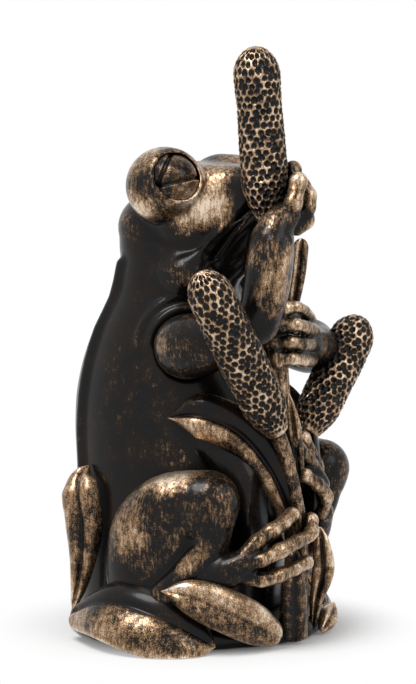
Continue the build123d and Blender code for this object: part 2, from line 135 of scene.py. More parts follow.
FINGERS = {
    RIGHT: [
        [(-10.5, -39.5, 129, 2.8), (-5.5, -39.6, 137.5, 2.6), (-2.6, -36.6, 143, 2.5)],
        [(-14.4, -42, 128, 3), (-14.6, -43.7, 133.4, 2.8), (-12.1, -43.9, 139.6, 2.6)],
        [(-9.9, -42.6, 128, 2.6), (-7.3, -44.8, 131.7, 2.3), (-6.3, -44.5, 135.6, 2.3),
         (-5.2, -41.8, 138.2, 2.3)],
        [(-10.6, -42.6, 125.6, 2.7), (-7.4, -44, 127.6, 2.6), (-4.4, -42.3, 130, 2.4),
         (-1, -38, 131.6, 2.2)],
    ],
    LEFT: [
        [(10, -34.5, 92, 2.6), (6, -37.5, 95.2, 2.2), (-1.9, -40.2, 98.4, 1.9), (-7.4, -40.4, 100.2, 1.8),
         (-9.4, -38.4, 99.8, 1.8)],
        [(10, -35, 89, 2.8), (7, -38, 91, 2.5), (-2.8, -41.2, 93.4, 2.2), (-9.2, -41, 94.8, 2.1),
         (-10.8, -38, 94.6, 2.1)],
        [(10, -35, 85.5, 2.8), (7, -37.7, 86.6, 2.6), (-4.3, -40.6, 88.2, 2.4), (-10.4, -39.6, 89.3, 2.2),
         (-11.5, -35.8, 89, 2.2)],
        [(10, -35, 82.6, 2.8), (7.6, -36.9, 82.2, 2.6), (-2.2, -40, 83, 2.4), (-9.2, -39.6, 84, 2.2),
         (-11.3, -36.4, 84, 2.2)],
    ],
}
TOES = {
    RIGHT: [
        [(-31, -35.4, 22.7, 2.9), (-27.4, -38.3, 27.4, 2.5), (-22.5, -40.7, 30.4, 2.6),
         (-16.8, -41.7, 32.5, 2.3), (-12.6, -42, 34.3, 2.3)],
        [(-31.7, -36.1, 20.4, 2.6), (-28.7, -40.9, 22.3, 2.2), (-23.5, -44.4, 24.7, 2.5),
         (-15.3, -45.4, 26.4, 2.2), (-6.2, -45.7, 28.4, 2.3), (-3.5, -44, 31.4, 2.3)],
        [(-30.3, -36.4, 16.7, 2.6), (-27.8, -40.4, 15.7, 2.2), (-22, -43.1, 16.7, 2.4),
         (-14.7, -44.4, 17.6, 2.1), (-8.1, -44.8, 18.6, 2.2)],
    ],
    LEFT: [
        [(16.2, -35.4, 34.3, 2.2), (12.5, -37.1, 46.7, 2.1), (6, -35.9, 56.2, 2.1)],
        [(12.2, -38.4, 33.7, 2.4), (9.1, -40.9, 41.6, 2.3), (2.8, -40.4, 48.8, 2.2),
         (-3.8, -38.3, 56.2, 2.2)],
        [(10.7, -39.7, 32.1, 2.4), (8.9, -42.5, 37.5, 2.3), (3.9, -42, 42.3, 2.2),
         (-1.2, -40.5, 45.7, 2.2)],
    ],
}

# Reeds: the stem's line, then the spike's foot, the point that it ends at and its length
REEDS = {
    "tall": dict(stem=[(4.6, -35, -3), (-7, -31, 117), (-9, -30.3, 138)],
                 foot=(-8, -30.6, 127), aim=(-13.3, -28.8, 181), length=55.3),
    "right": dict(stem=[(0, -38.5, -3), (-1, -38.9, 5.3), (-3.7, -40, 23.4), (-5.9, -40.3, 34.4),
                        (-8.8, -39.6, 45.6), (-12, -38.8, 54.8), (-20.8, -36.6, 71)],
                  foot=(-15.4, -38.4, 61), aim=(-45.1, -28.7, 112), length=60.5),
    "left": dict(stem=[(8.6, -31, -3), (7.4, -31.5, 25), (6.5, -31.9, 43), (7.6, -32.2, 52),
                       (18.5, -33.9, 65)],
                 foot=(12.4, -33, 57), aim=(40.8, -37.5, 93), length=46),
}

# Leaves: spine stations with a share of the width, the width, the fold of the wings, the way it faces,
# the rib's place across the leaf, how deep its groove is and the gold on the wing above it and below it,
# which is rubbed gold and also painted light on a wing that faces the light and painted shade on one turned
# from it
SIDE_LEAVES = {
    "back_leaf": dict(
        spine=[(-33.8, 27.6, 0.4, 0.1), (-34.1, 25.3, 8, 0.42), (-34.3, 23.8, 15.5, 0.64),
               (-34.4, 23, 29.3, 1), (-33.6, 25, 39.7, 0.98), (-29.6, 26, 45, 0.55),
               (-27.4, 25, 47.5, 0.05)],
        width=13.4, fold=-0.12, start=(-0.97, -0.25, 0), end=(-0.97, -0.1, 0.1),
        rib=0, groove=0.7, gold=(0.02, 0.0)),
    "ground_leaf": dict(
        spine=[(-39.2, 25, -0.8, 0.3), (-48.3, 2.8, 5.8, 0.88), (-46, -15.2, 2.6, 1),
               (-38.1, -25.8, -3.8, 0.65), (-35.4, -28.2, -5.6, 0.1)],
        width=25, fold=-0.14, start=(-0.75, 0.4, 0.55), end=(-0.7, -0.5, 0.6),
        rib=0.22, groove=1, gold=(-0.34, -0.02)),
    "flank_leaf": dict(
        spine=[(-7.5, -39, 33, 0.45), (-13.6, -34.8, 49, 0.8), (-20.2, -26.2, 61.3, 1),
               (-25.4, -16, 65.7, 1), (-27.2, -4.6, 64.5, 0.05)],
        width=15, fold=-0.1, start=(-0.6, -0.75, 0.1), end=(-1, -0.1, 0.2),
        rib=0.1, groove=1, gold=(-0.4, 0.12)),
}
FRONT_LEAVES = {
    "front_leaf": dict(
        spine=[(-16.9, -40.9, -4.5, 0.5), (-25.6, -38.4, 0.2, 0.9), (-34.8, -34, 5.4, 1),
               (-41.2, -28.4, 9.4, 0.95), (-44.6, -22.1, 11.8, 0.7), (-46.4, -14.4, 12.6, 0.05)],
        width=14, fold=-0.15, start=(-0.6, -0.8, 0.1), end=(-0.95, -0.2, 0.2),
        rib=0.1, groove=0.1, gold=(0.24, -0.06)),
    "sheath_leaf": dict(
        spine=[(-9, -41, -7.2, 1), (-9.7, -41.4, 3, 0.95), (-9.6, -41.4, 13, 0.8), (-8, -40.6, 23, 0.4)],
        width=9.6, fold=-0.1, start=(-0.7, -0.7, 0), end=(-0.7, -0.7, 0),
        rib=0, groove=0, gold=(-0.15, -0.15)),
    "curled_leaf": dict(
        spine=[(4.3, -40, -6.8, 0.12), (4.5, -41.1, 3.6, 0.55), (5.6, -43, 14.7, 1),
               (5.2, -42.6, 22.9, 0.75), (5.8, -41.6, 28.3, 0.4)],
        width=7.6, fold=0.3, start=(-0.6, -0.8, 0), end=(-0.6, -0.8, 0),
        rib=0.1, groove=0.6, gold=(0.1, -0.1)),
    "low_leaf": dict(
        spine=[(7.5, -41.6, -6.4, 0.35), (13.2, -41.1, -3.2, 1), (21.7, -38.1, 0.6, 0.05)],
        width=7, fold=-0.1, start=(0, -0.9, 0.5), end=(0.1, -0.8, 0.6),
        rib=0, groove=0.2, gold=(0, 0)),
}
REED_BLADES = {
    "tall_reed_blade": dict(
        spine=[(-0.5, -35, 99, 0.8), (0.2, -36.8, 110.7, 1), (0.5, -38, 121.5, 0.95)],
        width=5.2, fold=0.1, start=(-0.85, -0.5, 0), end=(-0.85, -0.5, 0),
        rib=-0.1, groove=0.3, gold=(0.2, -0.2)),
    "front_reed_blade": dict(
        spine=[(-3.5, -39.5, 45, 0.8), (-5.5, -38.5, 62, 1), (-7, -37.6, 73, 0.2)],
        width=5, fold=0.1, start=(-0.8, -0.6, 0), end=(-0.8, -0.6, 0),
        rib=0, groove=0.2, gold=(0, 0)),
}

# Gold that a rag leaves on a piece: how much all over and on its edges; and on what faces up, which is rubbed
# gold and also painted light from above
RUB_AND_TOP_LIGHT = {
    "torso": (-0.02, 0.7, 0.0),
    "head": (0.12, 0.9, 0.05),
    "eye": (0.16, 0.9, 0.16),
    "arm": (0.12, 0.8, 0.05),
    "hand": (0.14, 1.4, 0.1),
    "hind_leg": (0.16, 0.7, 0.15),
    "foot": (-0.06, 1.7, 0.15),
    "stem": (0.22, 0.7, 0.0),
    "spike": (0.08, 0.5, 0.0),
    "leaf": (0.1, 1.1, 0.1),
    "blade": (0.05, 0.9, 0.0),
    "plinth": (0.0, 0.3, 0.0),
}
# Places rubbed harder, or less: x for the frog's right side, y, height, reach, gold; some of them are painted
# highlights and sheen as well as gold
RUB_AND_HIGHLIGHT_SPOTS = [
    (-17, -11, 132, 13, 0.8),
    (-8, -8, 144, 12, 0.45),
    (-15, -16, 119, 10, -0.45),
    (-29, -34, 108, 8, -0.3),
    (-26, 6, 131, 10, 0.5),
    (-22, -4, 138, 6, -0.18),
    (-14, -12, 112, 9, -0.15),
    (-31, -8, 90, 7, 0.25),
    (-26, -24, 82, 10, -0.2),
    (-24, -43, 110, 13, 0.32),
    # Gold on the knee top, with a painted highlight there
    (-34, -12, 48, 13, 0.85),
    # Painted highlight on the top of the eye bulge, with some gold
    (-24, 6, 147, 9, 0.5),
    (-30, 6, 70, 24, 0.15),
    # Gold on the thigh, with a painted sheen
    (-42, 2, 33, 14, 0.34),
    (-44, 8, 12, 12, -0.2),
    # Painted sheen on the shin
    (-40, -21, 24, 9, 0.32),
    (-40, -6, 24, 10, 0.2),
]


def smooth_line(points, count):
    """Count rows evenly along a smooth line through points; the columns after x, y, z ride along."""
    points = np.asarray(points, float)
    run = np.concatenate([[0], np.cumsum(np.linalg.norm(np.diff(points[:, :3], axis=0), axis=1))])
    at = np.linspace(0, run[-1], count)
    slope = np.gradient(points, run, axis=0)
    k = np.clip(np.searchsorted(run, at) - 1, 0, len(run) - 2)
    span = (run[k + 1] - run[k])[:, None]
    t = (at - run[k])[:, None] / span
    line = ((2 * t**3 - 3 * t**2 + 1) * points[k] + (t**3 - 2 * t**2 + t) * span * slope[k]
            + (3 * t**2 - 2 * t**3) * points[k + 1] + (t**3 - t**2) * span * slope[k + 1])
    for column in range(3, points.shape[1]):
        line[:, column] = np.clip(line[:, column], points[:, column].min(), points[:, column].max())
    return line


def mirrored(line):
    """The same line on the frog's other side."""
    return [(-row[0], *row[1:]) for row in line]


def on_side(line, side):
    return line if side == RIGHT else mirrored(line)


def smin(a, b, soft):
    """The union of two fields with a fillet of about that width."""
    h = np.clip(0.5 + 0.5 * (b - a) / soft, 0, 1)
    return b + (a - b) * h - soft * h * (1 - h)


def smax(a, b, soft):
    return -smin(-a, -b, soft)


def ball(p, centre, radius):
    return np.sqrt(sum((a - c) ** 2 for a, c in zip(p, centre))) - radius


def egg(p, centre, radii):
    q = [(a - c) / r for a, c, r in zip(p, centre, radii)]
    near = np.sqrt(sum(a**2 for a in q))
    steep = np.sqrt(sum((a / r) ** 2 for a, r in zip(q, radii))) + 1e-6
    return near * (near - 1) / steep


def half_space(p, point, normal):
    normal = np.asarray(normal, float) / np.linalg.norm(normal)
    return sum((a - c) * v for a, c, v in zip(p, point, normal))


def limb(p, stations, count=16):
    """A round limb through (x, y, height, radius) stations."""
    line = smooth_line(stations, count)
    best = None
    for a, b in zip(line[:-1], line[1:]):
        axis = b[:3] - a[:3]
        t = sum((q - s) * v for q, s, v in zip(p, a, axis)) / float(axis @ axis)
        t = np.clip(t, 0, 1)
        near = np.sqrt(sum((q - s - t * v) ** 2 for q, s, v in zip(p, a, axis))) - (a[3] + t * (b[3] - a[3]))
        best = near if best is None else np.minimum(best, near)
    return best


def groove(field, mark, radius, soft=0.5):
    """A round groove along a surface where mark is zero."""
    return smax(field, radius - np.sqrt(field**2 + mark**2), soft)


def bead(field, mark, radius, soft=1.0):
    """A raised cord along a surface where mark is zero."""
    return smin(field, np.sqrt(field**2 + mark**2) - radius, soft)


def crease(body, part, gap, depth):
    """Cut a narrow trench into a body round the part that rises out of it."""
    return smax(body, np.minimum(gap - part, body + depth), soft=0.4)


# A distance in mm that no fillet or groove reaches over
FAR = 50.0


class Block:
    """A box of points on one lattice that all pieces share, so that neighbours meet without a step."""

    def __init__(self, low, high, step):
        self.step = step
        self.start = np.floor(np.asarray(low, float) / step).astype(int)
        self.shape = np.ceil(np.asarray(high, float) / step).astype(int) - self.start + 1

    def axes(self):
        spans = [((s + np.arange(n)) * self.step).astype(np.float32) for s, n in zip(self.start, self.shape)]
        return spans[0][:, None, None], spans[1][None, :, None], spans[2][None, None, :]

    def fill(self, field):
        return np.array(np.broadcast_to(field, tuple(self.shape)), np.float32)

    def take(self, other, field):
        """Another block's field on these points, and a far distance where it doesn't reach."""
        result = np.full(tuple(self.shape), FAR, np.float32)
        low = np.maximum(self.start, other.start)
        high = np.minimum(self.start + self.shape, other.start + other.shape)
        if (high <= low).any():
            return result
        here = tuple(slice(a, b) for a, b in zip(low - self.start, high - self.start))
        there = tuple(slice(a, b) for a, b in zip(low - other.start, high - other.start))
        result[here] = field[there]
        return result

    def mesh(self, field):
        """Points in millimetres above the plinth, and quads, of the surface where the field is zero."""
        grid = openvdb.FloatGrid()
        grid.copyFromArray(np.ascontiguousarray(field, np.float32))
        points, quads = grid.convertToQuads(0.0)
        return (points + self.start) * self.step, quads[:, ::-1]


def reach(lines, margin=6.0):
    """The box round limb lines, with room for fillets."""
    rows = np.array([row for line in lines for row in line], float)
    return (rows[:, :3] - rows[:, 3:]).min(0) - margin, (rows[:, :3] + rows[:, 3:]).max(0) + margin


def torso_at(height):
    """Centre y, half width and half depth of the torso at some heights."""
    table = np.array(TORSO, float)
    line = smooth_line(np.column_stack([np.zeros((len(table), 2)), table]), count=200)
    return [np.interp(height, line[:, 2], line[:, k]).astype(np.float32) for k in (3, 4, 5)]


def torso_form(p):
    x, y, z = p
    centre, wide, deep = (a[None, None, :] for a in torso_at(z.ravel()))
    field = (np.sqrt((x / wide) ** 2 + ((y - centre) / deep) ** 2) - 1) * np.minimum(wide, deep)
    field = smax(field, z - TORSO[-1][0], soft=5)
    field = smax(field, y - (centre + BACK_FLAT * deep), soft=2.5)
    ridge_centre, ridge_wide, ridge_deep = torso_at(np.array(RIDGE_HEIGHTS, float))
    for side in (RIGHT, LEFT):
        ridge = np.column_stack([side * ridge_wide * RIDGE_OUT, ridge_centre + ridge_deep * RIDGE_BACK,
                                 RIDGE_HEIGHTS, np.full(len(RIDGE_HEIGHTS), RIDGE_RADIUS)])
        field = smin(field, limb(p, ridge), soft=2.5)
    fold = limb(p, BELLY_FOLD)
    field = smin(crease(field, fold, gap=0.5, depth=1.0), fold, soft=1.2)
    return smax(field, -z, soft=1)


# Eyes: a bulge's centre with x for the left side, how much lower the left one sits, the way to the eyeball
EYE_BULGE, LEFT_EYE_DROP, EYE_WAY = (17.6, 2.3, 138), 3, (3.0, -4.6, 1.9)
BULGE_RADIUS, EYE_RADIUS, SOCKET_RIM, SOCKET_GAP = 12.5, 8.4, 1.3, 0.5
# Upper and lower lid: the normal of the plane that it ends at on the left eye, and how far out that lies
EYELIDS = [((0.454, 0.7975, 0.397), 3.67), ((-0.0525, -0.2562, -0.9654), 1.66)]
LID_RISE, LID_OVERLAP, LID_CUT, LID_CUT_RADIUS = 0.45, 0.3, 0.35, 0.62


def eye_bulge(side):
    x, y, z = EYE_BULGE
    return np.array([side * x, y, z - (LEFT_EYE_DROP if side == LEFT else 0)], float)


def eye_centre(side):
    x, y, z = EYE_WAY
    return eye_bulge(side) + np.array([side * x, y, z])


# Head: skull and nape as centre and radii, snout and jaw as limb lines, planes as a point and a normal
SKULL, NAPE = ((0, -1, 130), (22, 18, 17)), ((0, 12, 124), (20, 15, 13))
SNOUT = [(0, 0, 132, 16), (0, -12, 135, 13.5), (0, -21, 138, 8.5)]
JAW = [(0, -2, 118, 16), (0, -12, 123, 13), (0, -20, 130, 8.5)]
FOREHEAD_PLANE = ((0, -5, 145), (0, -0.05, 1))
LIP_PLANE = ((0, -12, 117.2), (0, 0.72, 0.69))
MOUTH_PLANE = ((0, -12, 114.6), (0, 0.8, 0.6))
MOUTH_CORNER, LOWER_LIP = -6, 1.7
# Pouches at the corners of the jaw, creased below and smooth above
POUCH_OUT, POUCH_AT, POUCH_RADII = 13.6, (-3.4, 110), (8.6, 9.2, 7.4)
POUCH_SMOOTH, POUCH_FADE = 114, 4


def head_form(p):
    y, z = p[1:]
    field = smin(smin(egg(p, *SKULL), limb(p, SNOUT), soft=6), limb(p, JAW), soft=6)
    field = smax(field, half_space(p, *FOREHEAD_PLANE), soft=3)
    field = smin(field, egg(p, *NAPE), soft=4)
    lip = half_space(p, *LIP_PLANE)
    mouth = half_space(p, *MOUTH_PLANE)
    past_corner = np.maximum(0, y - MOUTH_CORNER)
    field = bead(field, np.hypot(lip, past_corner), radius=1.9, soft=1.8)
    field = bead(field, np.hypot(mouth + LOWER_LIP, past_corner), radius=0.7, soft=0.8)
    field = groove(field, np.hypot(mouth, past_corner), radius=1.5, soft=1.3)
    low = np.clip((POUCH_SMOOTH - z) / POUCH_FADE, 0, 1)
    for side in (RIGHT, LEFT):
        field = smin(field, ball(p, eye_bulge(side), BULGE_RADIUS), soft=1.8)
        pouch = egg(p, (side * POUCH_OUT, *POUCH_AT), POUCH_RADII)
        field = smin(crease(field, pouch, gap=0.7, depth=1.1 * low), pouch, soft=4.5 - 4 * low)
    for side in (RIGHT, LEFT):
        socket = ball(p, eye_centre(side), EYE_RADIUS)
        field = bead(field, socket - SOCKET_RIM, radius=0.8, soft=0.9)
        field = smax(field, SOCKET_GAP - socket, soft=0.3)
    return field


def eye_form(p, side):
    """An eyeball with a heavy lid behind it and one below, each with a cut line at its edge."""
    centre = eye_centre(side)
    eyeball = ball(p, centre, EYE_RADIUS)
    upper, lower = (half_space(p, centre, (side * x, y, z)) - out for (x, y, z), out in EYELIDS)
    lids = np.maximum(eyeball - LID_RISE, -np.maximum(upper, lower))
    field = smin(eyeball, lids, soft=0.2)
    field = groove(field, np.where(lower < LID_OVERLAP, upper + LID_CUT, FAR), LID_CUT_RADIUS)
    return groove(field, lower + LID_CUT, LID_CUT_RADIUS)


# Knee: how far below the thigh's end the shin starts to part from it, and over what height it does
KNEE_BELOW, KNEE_FADE = 8, 8


def leg_form(p, side):
    """A folded leg: thigh and shin run into one another at the knee and part in a crease below it."""
    thigh = smin(limb(p, THIGH[side]), limb(p, HAM[side]), soft=5)
    shin = limb(p, SHIN[side])
    parted = np.clip((THIGH[side][-1][2] - KNEE_BELOW - p[2]) / KNEE_FADE, 0, 1)
    field = smin(crease(thigh, shin, gap=0.35, depth=0.9 * parted), shin, soft=7 - 6 * parted)
    return smax(field, -p[2], soft=1)


KNUCKLE_SHARE, FINGER_PAD, TOE_PAD = 1.06, 2.8, 2.4


def digit(p, line, pad):
    """A finger or toe with knuckles and a round pad."""
    stations = np.asarray(line, float)
    field = limb(p, stations, count=12)
    for knuckle in stations[1:-1]:
        field = smin(field, ball(p, knuckle[:3], knuckle[3] * KNUCKLE_SHARE), soft=0.8)
    way = stations[-1, :3] - stations[-2, :3]
    tip = stations[-1, :3] + way / np.linalg.norm(way) * pad / 4
    return smin(field, ball(p, tip, pad), soft=1.0)


def paw_form(p, palm, digits, pad):
    """A palm or foot with its digits, which part in sharp clefts."""
    field = limb(p, palm)
    for line in digits:
        field = smin(field, digit(p, line, pad * line[-1][3] / digits[0][-1][3]), soft=0.5)
    return field


def hand_form(p, side):
    return paw_form(p, PALM[side], FINGERS[side], FINGER_PAD)


def foot_form(p, side):
    return paw_form(p, FOOT[side], TOES[side], TOE_PAD)


def arm_form(p, side):
    field = smin(limb(p, UPPER_ARM[side]), limb(p, FOREARM[side]), soft=2.5)
    for sinew in SINEWS[side]:
        field = smin(field, limb(p, sinew), soft=1.2)
    return field


def frog_fields(step):
    """Each body piece's own field, on its own block of the shared lattice."""
    jobs = {
        "torso": ((-40, -32, -1), (40, 50, 130), torso_form),
        "head": ((-40, -34, 92), (40, 30, 162), head_form),
    }
    for name, side in SIDES.items():
        limbs = {
            "hind_leg": (leg_form, [THIGH[side], SHIN[side]]),
            "arm": (arm_form, [UPPER_ARM[side], FOREARM[side]]),
            "foot": (foot_form, [FOOT[side], *TOES[side]]),
            "hand": (hand_form, [PALM[side], *FINGERS[side]]),
        }
        for kind, (form, lines) in limbs.items():
            jobs[f"{name}_{kind}"] = (*reach(lines), lambda p, form=form, side=side: form(p, side))
    fields = {}
    for name, (low, high, form) in jobs.items():
        block = Block(low, high, step)
        fields[name] = (block, block.fill(form(block.axes())))
    return fields


FILLETS = {"head": 4.0, "hind_leg": 0.8, "arm": 0.9, "foot": 1.5, "hand": 1.6}
# Folds of skin round the arms: how far out, radius and fillet; they fade below a height
ARM_FOLDS = [(2.6, 1.0, 1.4), (6.6, 0.8, 1.6)]
FOLD_HEIGHT, FOLD_FADE = 90, 3
# Where two pieces meet, each sinks under the other and laps it by some steps; a block's faces are outside
SEAM_SINK, SEAM_LAP, OUTSIDE = 0.35, 1.4, 5


def fillet_of(name):
    return next((width for kind, width in FILLETS.items() if name.endswith(kind)), 1.0)


def frog_pieces(step):
    """Points and quads of each body piece: one skin over all, parted where the next piece is nearer."""
    fields = frog_fields(step)
    block, torso = fields["torso"]
    for name in ("right_hind_leg", "left_hind_leg", "right_arm", "left_arm"):
        part = block.take(*fields[name])
        if name.endswith("arm"):
            below = np.maximum(0, FOLD_HEIGHT - block.axes()[2]) / FOLD_FADE
            for out, radius, soft in ARM_FOLDS:
                torso = bead(torso, np.hypot(part - out, below), radius, soft)
        torso = crease(torso, part, gap=0.7, depth=1.3)
    fields["torso"] = (block, torso)
    pieces = {}
    for name, (block, own) in fields.items():
        skin = None
        others = np.full(tuple(block.shape), FAR, np.float32)
        for other, (other_block, other_field) in fields.items():
            field = own if other == name else block.take(other_block, other_field)
            skin = field if skin is None else smin(skin, field, fillet_of(other))
            if other != name:
                others = np.minimum(others, field)
        over = own - others
        part = np.maximum(skin + SEAM_SINK * np.maximum(over, 0), over - SEAM_LAP * step)
        part[[0, -1]] = OUTSIDE
        part[:, [0, -1]] = OUTSIDE
        part[:, :, [0, -1]] = OUTSIDE
        pieces[name] = block.mesh(part)
    return pieces


def new_piece(name, points, faces, slot, *nodes):
    """A mesh object from points in millimetres above the plinth, which stands for these nodes."""
    mesh = bpy.data.meshes.new(name)
    points = (np.asarray(points, float) + (0, 0, PLINTH_TOP)) * MM
    if isinstance(faces, np.ndarray):
        mesh.vertices.add(len(points))
        mesh.vertices.foreach_set("co", points.astype(np.float32).ravel())
        mesh.loops.add(faces.size)
        mesh.loops.foreach_set("vertex_index", faces.astype(np.int32).ravel())
        mesh.polygons.add(len(faces))
        mesh.polygons.foreach_set("loop_start", np.arange(0, faces.size, faces.shape[1], dtype=np.int32))
    else:
        mesh.from_pydata(points.tolist(), [], faces)
    mesh.update(calc_edges=True)
    mesh.validate()
    mesh.shade_smooth()
    piece = bpy.data.objects.new(name, mesh)
    bpy.context.scene.collection.objects.link(piece)
    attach(piece, "root")
    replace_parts(piece, *nodes)
    return piece


def ringed_faces(rows, columns):
    """Faces over rings of points, with a fan to a pole at each end; the poles are the last two points."""
    first, last = rows * columns, rows * columns + 1
    faces = []
    for i in range(rows - 1):
        for j in range(columns):
            a, b = i * columns + j, i * columns + (j + 1) % columns
            faces.append((a, b, b + columns, a + columns))
    end = (rows - 1) * columns
    for j in range(columns):
        faces.append(((j + 1) % columns, j, first))
        faces.append((end + j, end + (j + 1) % columns, last))
    return faces


def ringed_piece(name, rings, slot, *nodes):
    rows, columns = rings.shape[:2]
    points = np.vstack([rings.reshape(-1, 3), rings[0].mean(0), rings[-1].mean(0)])
    return new_piece(name, points, ringed_faces(rows, columns), slot, *nodes)


def unit(vectors):
    return vectors / np.linalg.norm(vectors, axis=-1, keepdims=True)


def frames_along(line, facing):
    """Directions across and outwards at each point of a line."""
    way = unit(np.gradient(line, axis=0))
    across = unit(np.cross(facing, way))
    return across, np.cross(way, across)


def once_round(count):
    """Angles evenly round one turn."""
    return np.linspace(0, 2 * np.pi, count, endpoint=False)


def rounded_end(share):
    """A quarter round that falls from 1 to 0 while the share of an end goes from 0 to 1."""
    return np.sqrt(np.clip(1 - np.clip(share, 0, 1) ** 2, 0, 1))


# Leaves: the shares of the length that tip and root round off over, and what is left at their ends
LEAF_TIP, LEAF_ROOT = 0.14, 0.06
TIP_WIDTH, TIP_BODY, ROOT_LEFT = 0.04, 0.1, 0.2
# The body where a leaf is narrow, the round of its edges, the crown of its wings and the groove at its rib
NARROW_BODY, EDGE_POWER = 0.4, 5
CROWN_HEIGHT, CROWN_POWER = 0.33, 1.2
RIB_WIDTH, RIB_DEPTH = 0.55, 0.75
# The room that a leaf keeps above the floor, and how widely its two golds blend at the rib
LEAF_CLEARANCE, GOLD_BLEND = 0.4, 0.4


def leaf_rings(leaf, side, thickness, rows, columns):
    """Closed cross-sections of a leaf: two crowned wings with round edges and a groove along the midrib."""
    line = smooth_line(on_side(leaf["spine"], side), rows)
    u = np.linspace(0, 1, rows)[:, None]
    flip = (-side, 1, 1)
    facing = np.multiply(leaf["start"], flip) * (1 - u) + np.multiply(leaf["end"], flip) * u
    across, out = frames_along(line[:, :3], facing)
    tip = rounded_end((u - 1 + LEAF_TIP) / LEAF_TIP)
    root = np.maximum(ROOT_LEFT, rounded_end((LEAF_ROOT - u) / LEAF_ROOT))
    share = line[:, 3:]
    half = leaf["width"] / 2 * share * np.maximum(TIP_WIDTH, tip) * root
    body = thickness * (NARROW_BODY + (1 - NARROW_BODY) * share) * np.maximum(TIP_BODY, tip) * root
    around = once_round(2 * columns)
    s = np.sin(np.pi / 2 * (4 * np.abs(around / (2 * np.pi) - 0.5) - 1))
    edge = np.sqrt(np.clip(1 - np.abs(s) ** EDGE_POWER, 0, 1))
    off_rib = s - leaf["rib"] * (1 - u)
    wing = np.where(off_rib > 0, off_rib / (1 - leaf["rib"]), -off_rib / (1 + leaf["rib"]))
    crown = CROWN_HEIGHT * body * np.sin(np.pi * np.clip(wing, 0, 1)) ** CROWN_POWER
    rib = RIB_DEPTH * leaf["groove"] * np.exp(-((off_rib * half / RIB_WIDTH) ** 2)) * np.minimum(1, body / 2)
    height = np.where(around < np.pi, edge * (body / 2 + crown) - rib, -edge * body / 2)
    height += leaf["fold"] * half * off_rib**2
    rings = line[:, None, :3] + across[:, None] * (half * s)[..., None] + out[:, None] * height[..., None]
    rings[..., 2] = np.maximum(rings[..., 2], FLOOR + LEAF_CLEARANCE)
    # Each wing's gold paints light on the wing that faces the light and shade on the one turned from it,
    # besides the rubbed gold
    rises = np.where(across[:, 2:] < 0, -1, 1) * off_rib
    above, under = leaf["gold"]
    return rings, under + (above - under) * np.clip(0.5 + rises / GOLD_BLEND, 0, 1)


# Stems: ribs round one as count and height, a slow swell along it, and the way its seam faces
STEM_RIBS = {3: 0.05, 5: 0.04, 7: 0.03}
STEM_SWELL, STEM_WAVES = 0.05, 9
STEM_FACING = (-0.6, -0.8, 0.1)
# A wave starts anywhere in about one turn
ANY_PHASE = 6


def stem_rings(line, radius, columns, seed):
    """A reed stem: a tube with a few soft ribs along it."""
    rng = np.random.default_rng(seed)
    across, out = frames_along(line, np.tile(STEM_FACING, (len(line), 1)))
    turn = once_round(columns)
    phases = rng.uniform(0, ANY_PHASE, len(STEM_RIBS))
    ribs = 1 + sum(rise * np.cos(count * turn + phase)
                   for (count, rise), phase in zip(STEM_RIBS.items(), phases))
    waves = np.linspace(0, STEM_WAVES, len(line)) + rng.uniform(0, ANY_PHASE)
    swell = radius * (1 + STEM_SWELL * np.sin(waves))
    ring = across[:, None] * np.cos(turn)[:, None] + out[:, None] * np.sin(turn)[:, None]
    return line[:, None] + ring * (swell[:, None] * ribs)[..., None]


# Pits of a spike: how close rows stand, the room at both ends, and how places, widths and depths vary
PIT_ROWS, PIT_ROOM = 0.88, 2
PIT_SHIFT, PIT_WIDTHS, PIT_DEPTHS = 0.17, (0.4, 0.52), (0.6, 1.0)


def pit_field(along, turn, radius, length, gap, seed):
    """How deep in a pit each point of a spike's skin lies."""
    rng = np.random.default_rng(seed)
    girth = 2 * np.pi * radius
    count = int(girth / gap)
    rows = int((length + 2 * PIT_ROOM) / (gap * PIT_ROWS))
    j, i = np.meshgrid(np.arange(count), np.arange(rows))
    pits = np.stack([(j + 0.5 * (i % 2)) * (girth / count), i * gap * PIT_ROWS - PIT_ROOM], -1)
    pits = pits.reshape(-1, 2)
    pits += rng.uniform(-PIT_SHIFT, PIT_SHIFT, pits.shape) * gap
    widths = rng.uniform(*PIT_WIDTHS, len(pits)) * gap
    depths = rng.uniform(*PIT_DEPTHS, len(pits))
    result = np.zeros(along.shape)
    for (a, b), wide, deep in zip(pits, widths, depths):
        near = np.where((np.abs(along - b) < wide).any(1))[0]
        if not len(near):
            continue
        hit = slice(near[0], near[-1] + 1)
        aside = (turn[hit] * radius - a + girth / 2) % girth - girth / 2
        off = np.sqrt(aside**2 + (along[hit] - b) ** 2) / wide
        result[hit] = np.maximum(result[hit], deep * np.clip(1 - off**3, 0, 1))
    return result


# Spikes: the dome's height in radii, the taper at the foot, a slow swell, knobs, how far the net between
# the pits stands out in pit depths, where the pits begin, and the least radii at the top
DOME_SHARE, TAPER_LENGTH, TAPER_RADIUS = 1.3, 13, 3.2
SPIKE_SWELL, SWELL_LENGTH, KNOB_HEIGHT = 0.025, 6, 0.12
NET_RISE, PITS_START, PITS_FADE = 0.3, 1, 3
TOP_RADIUS, LEAST_RADIUS = 0.15, 0.05


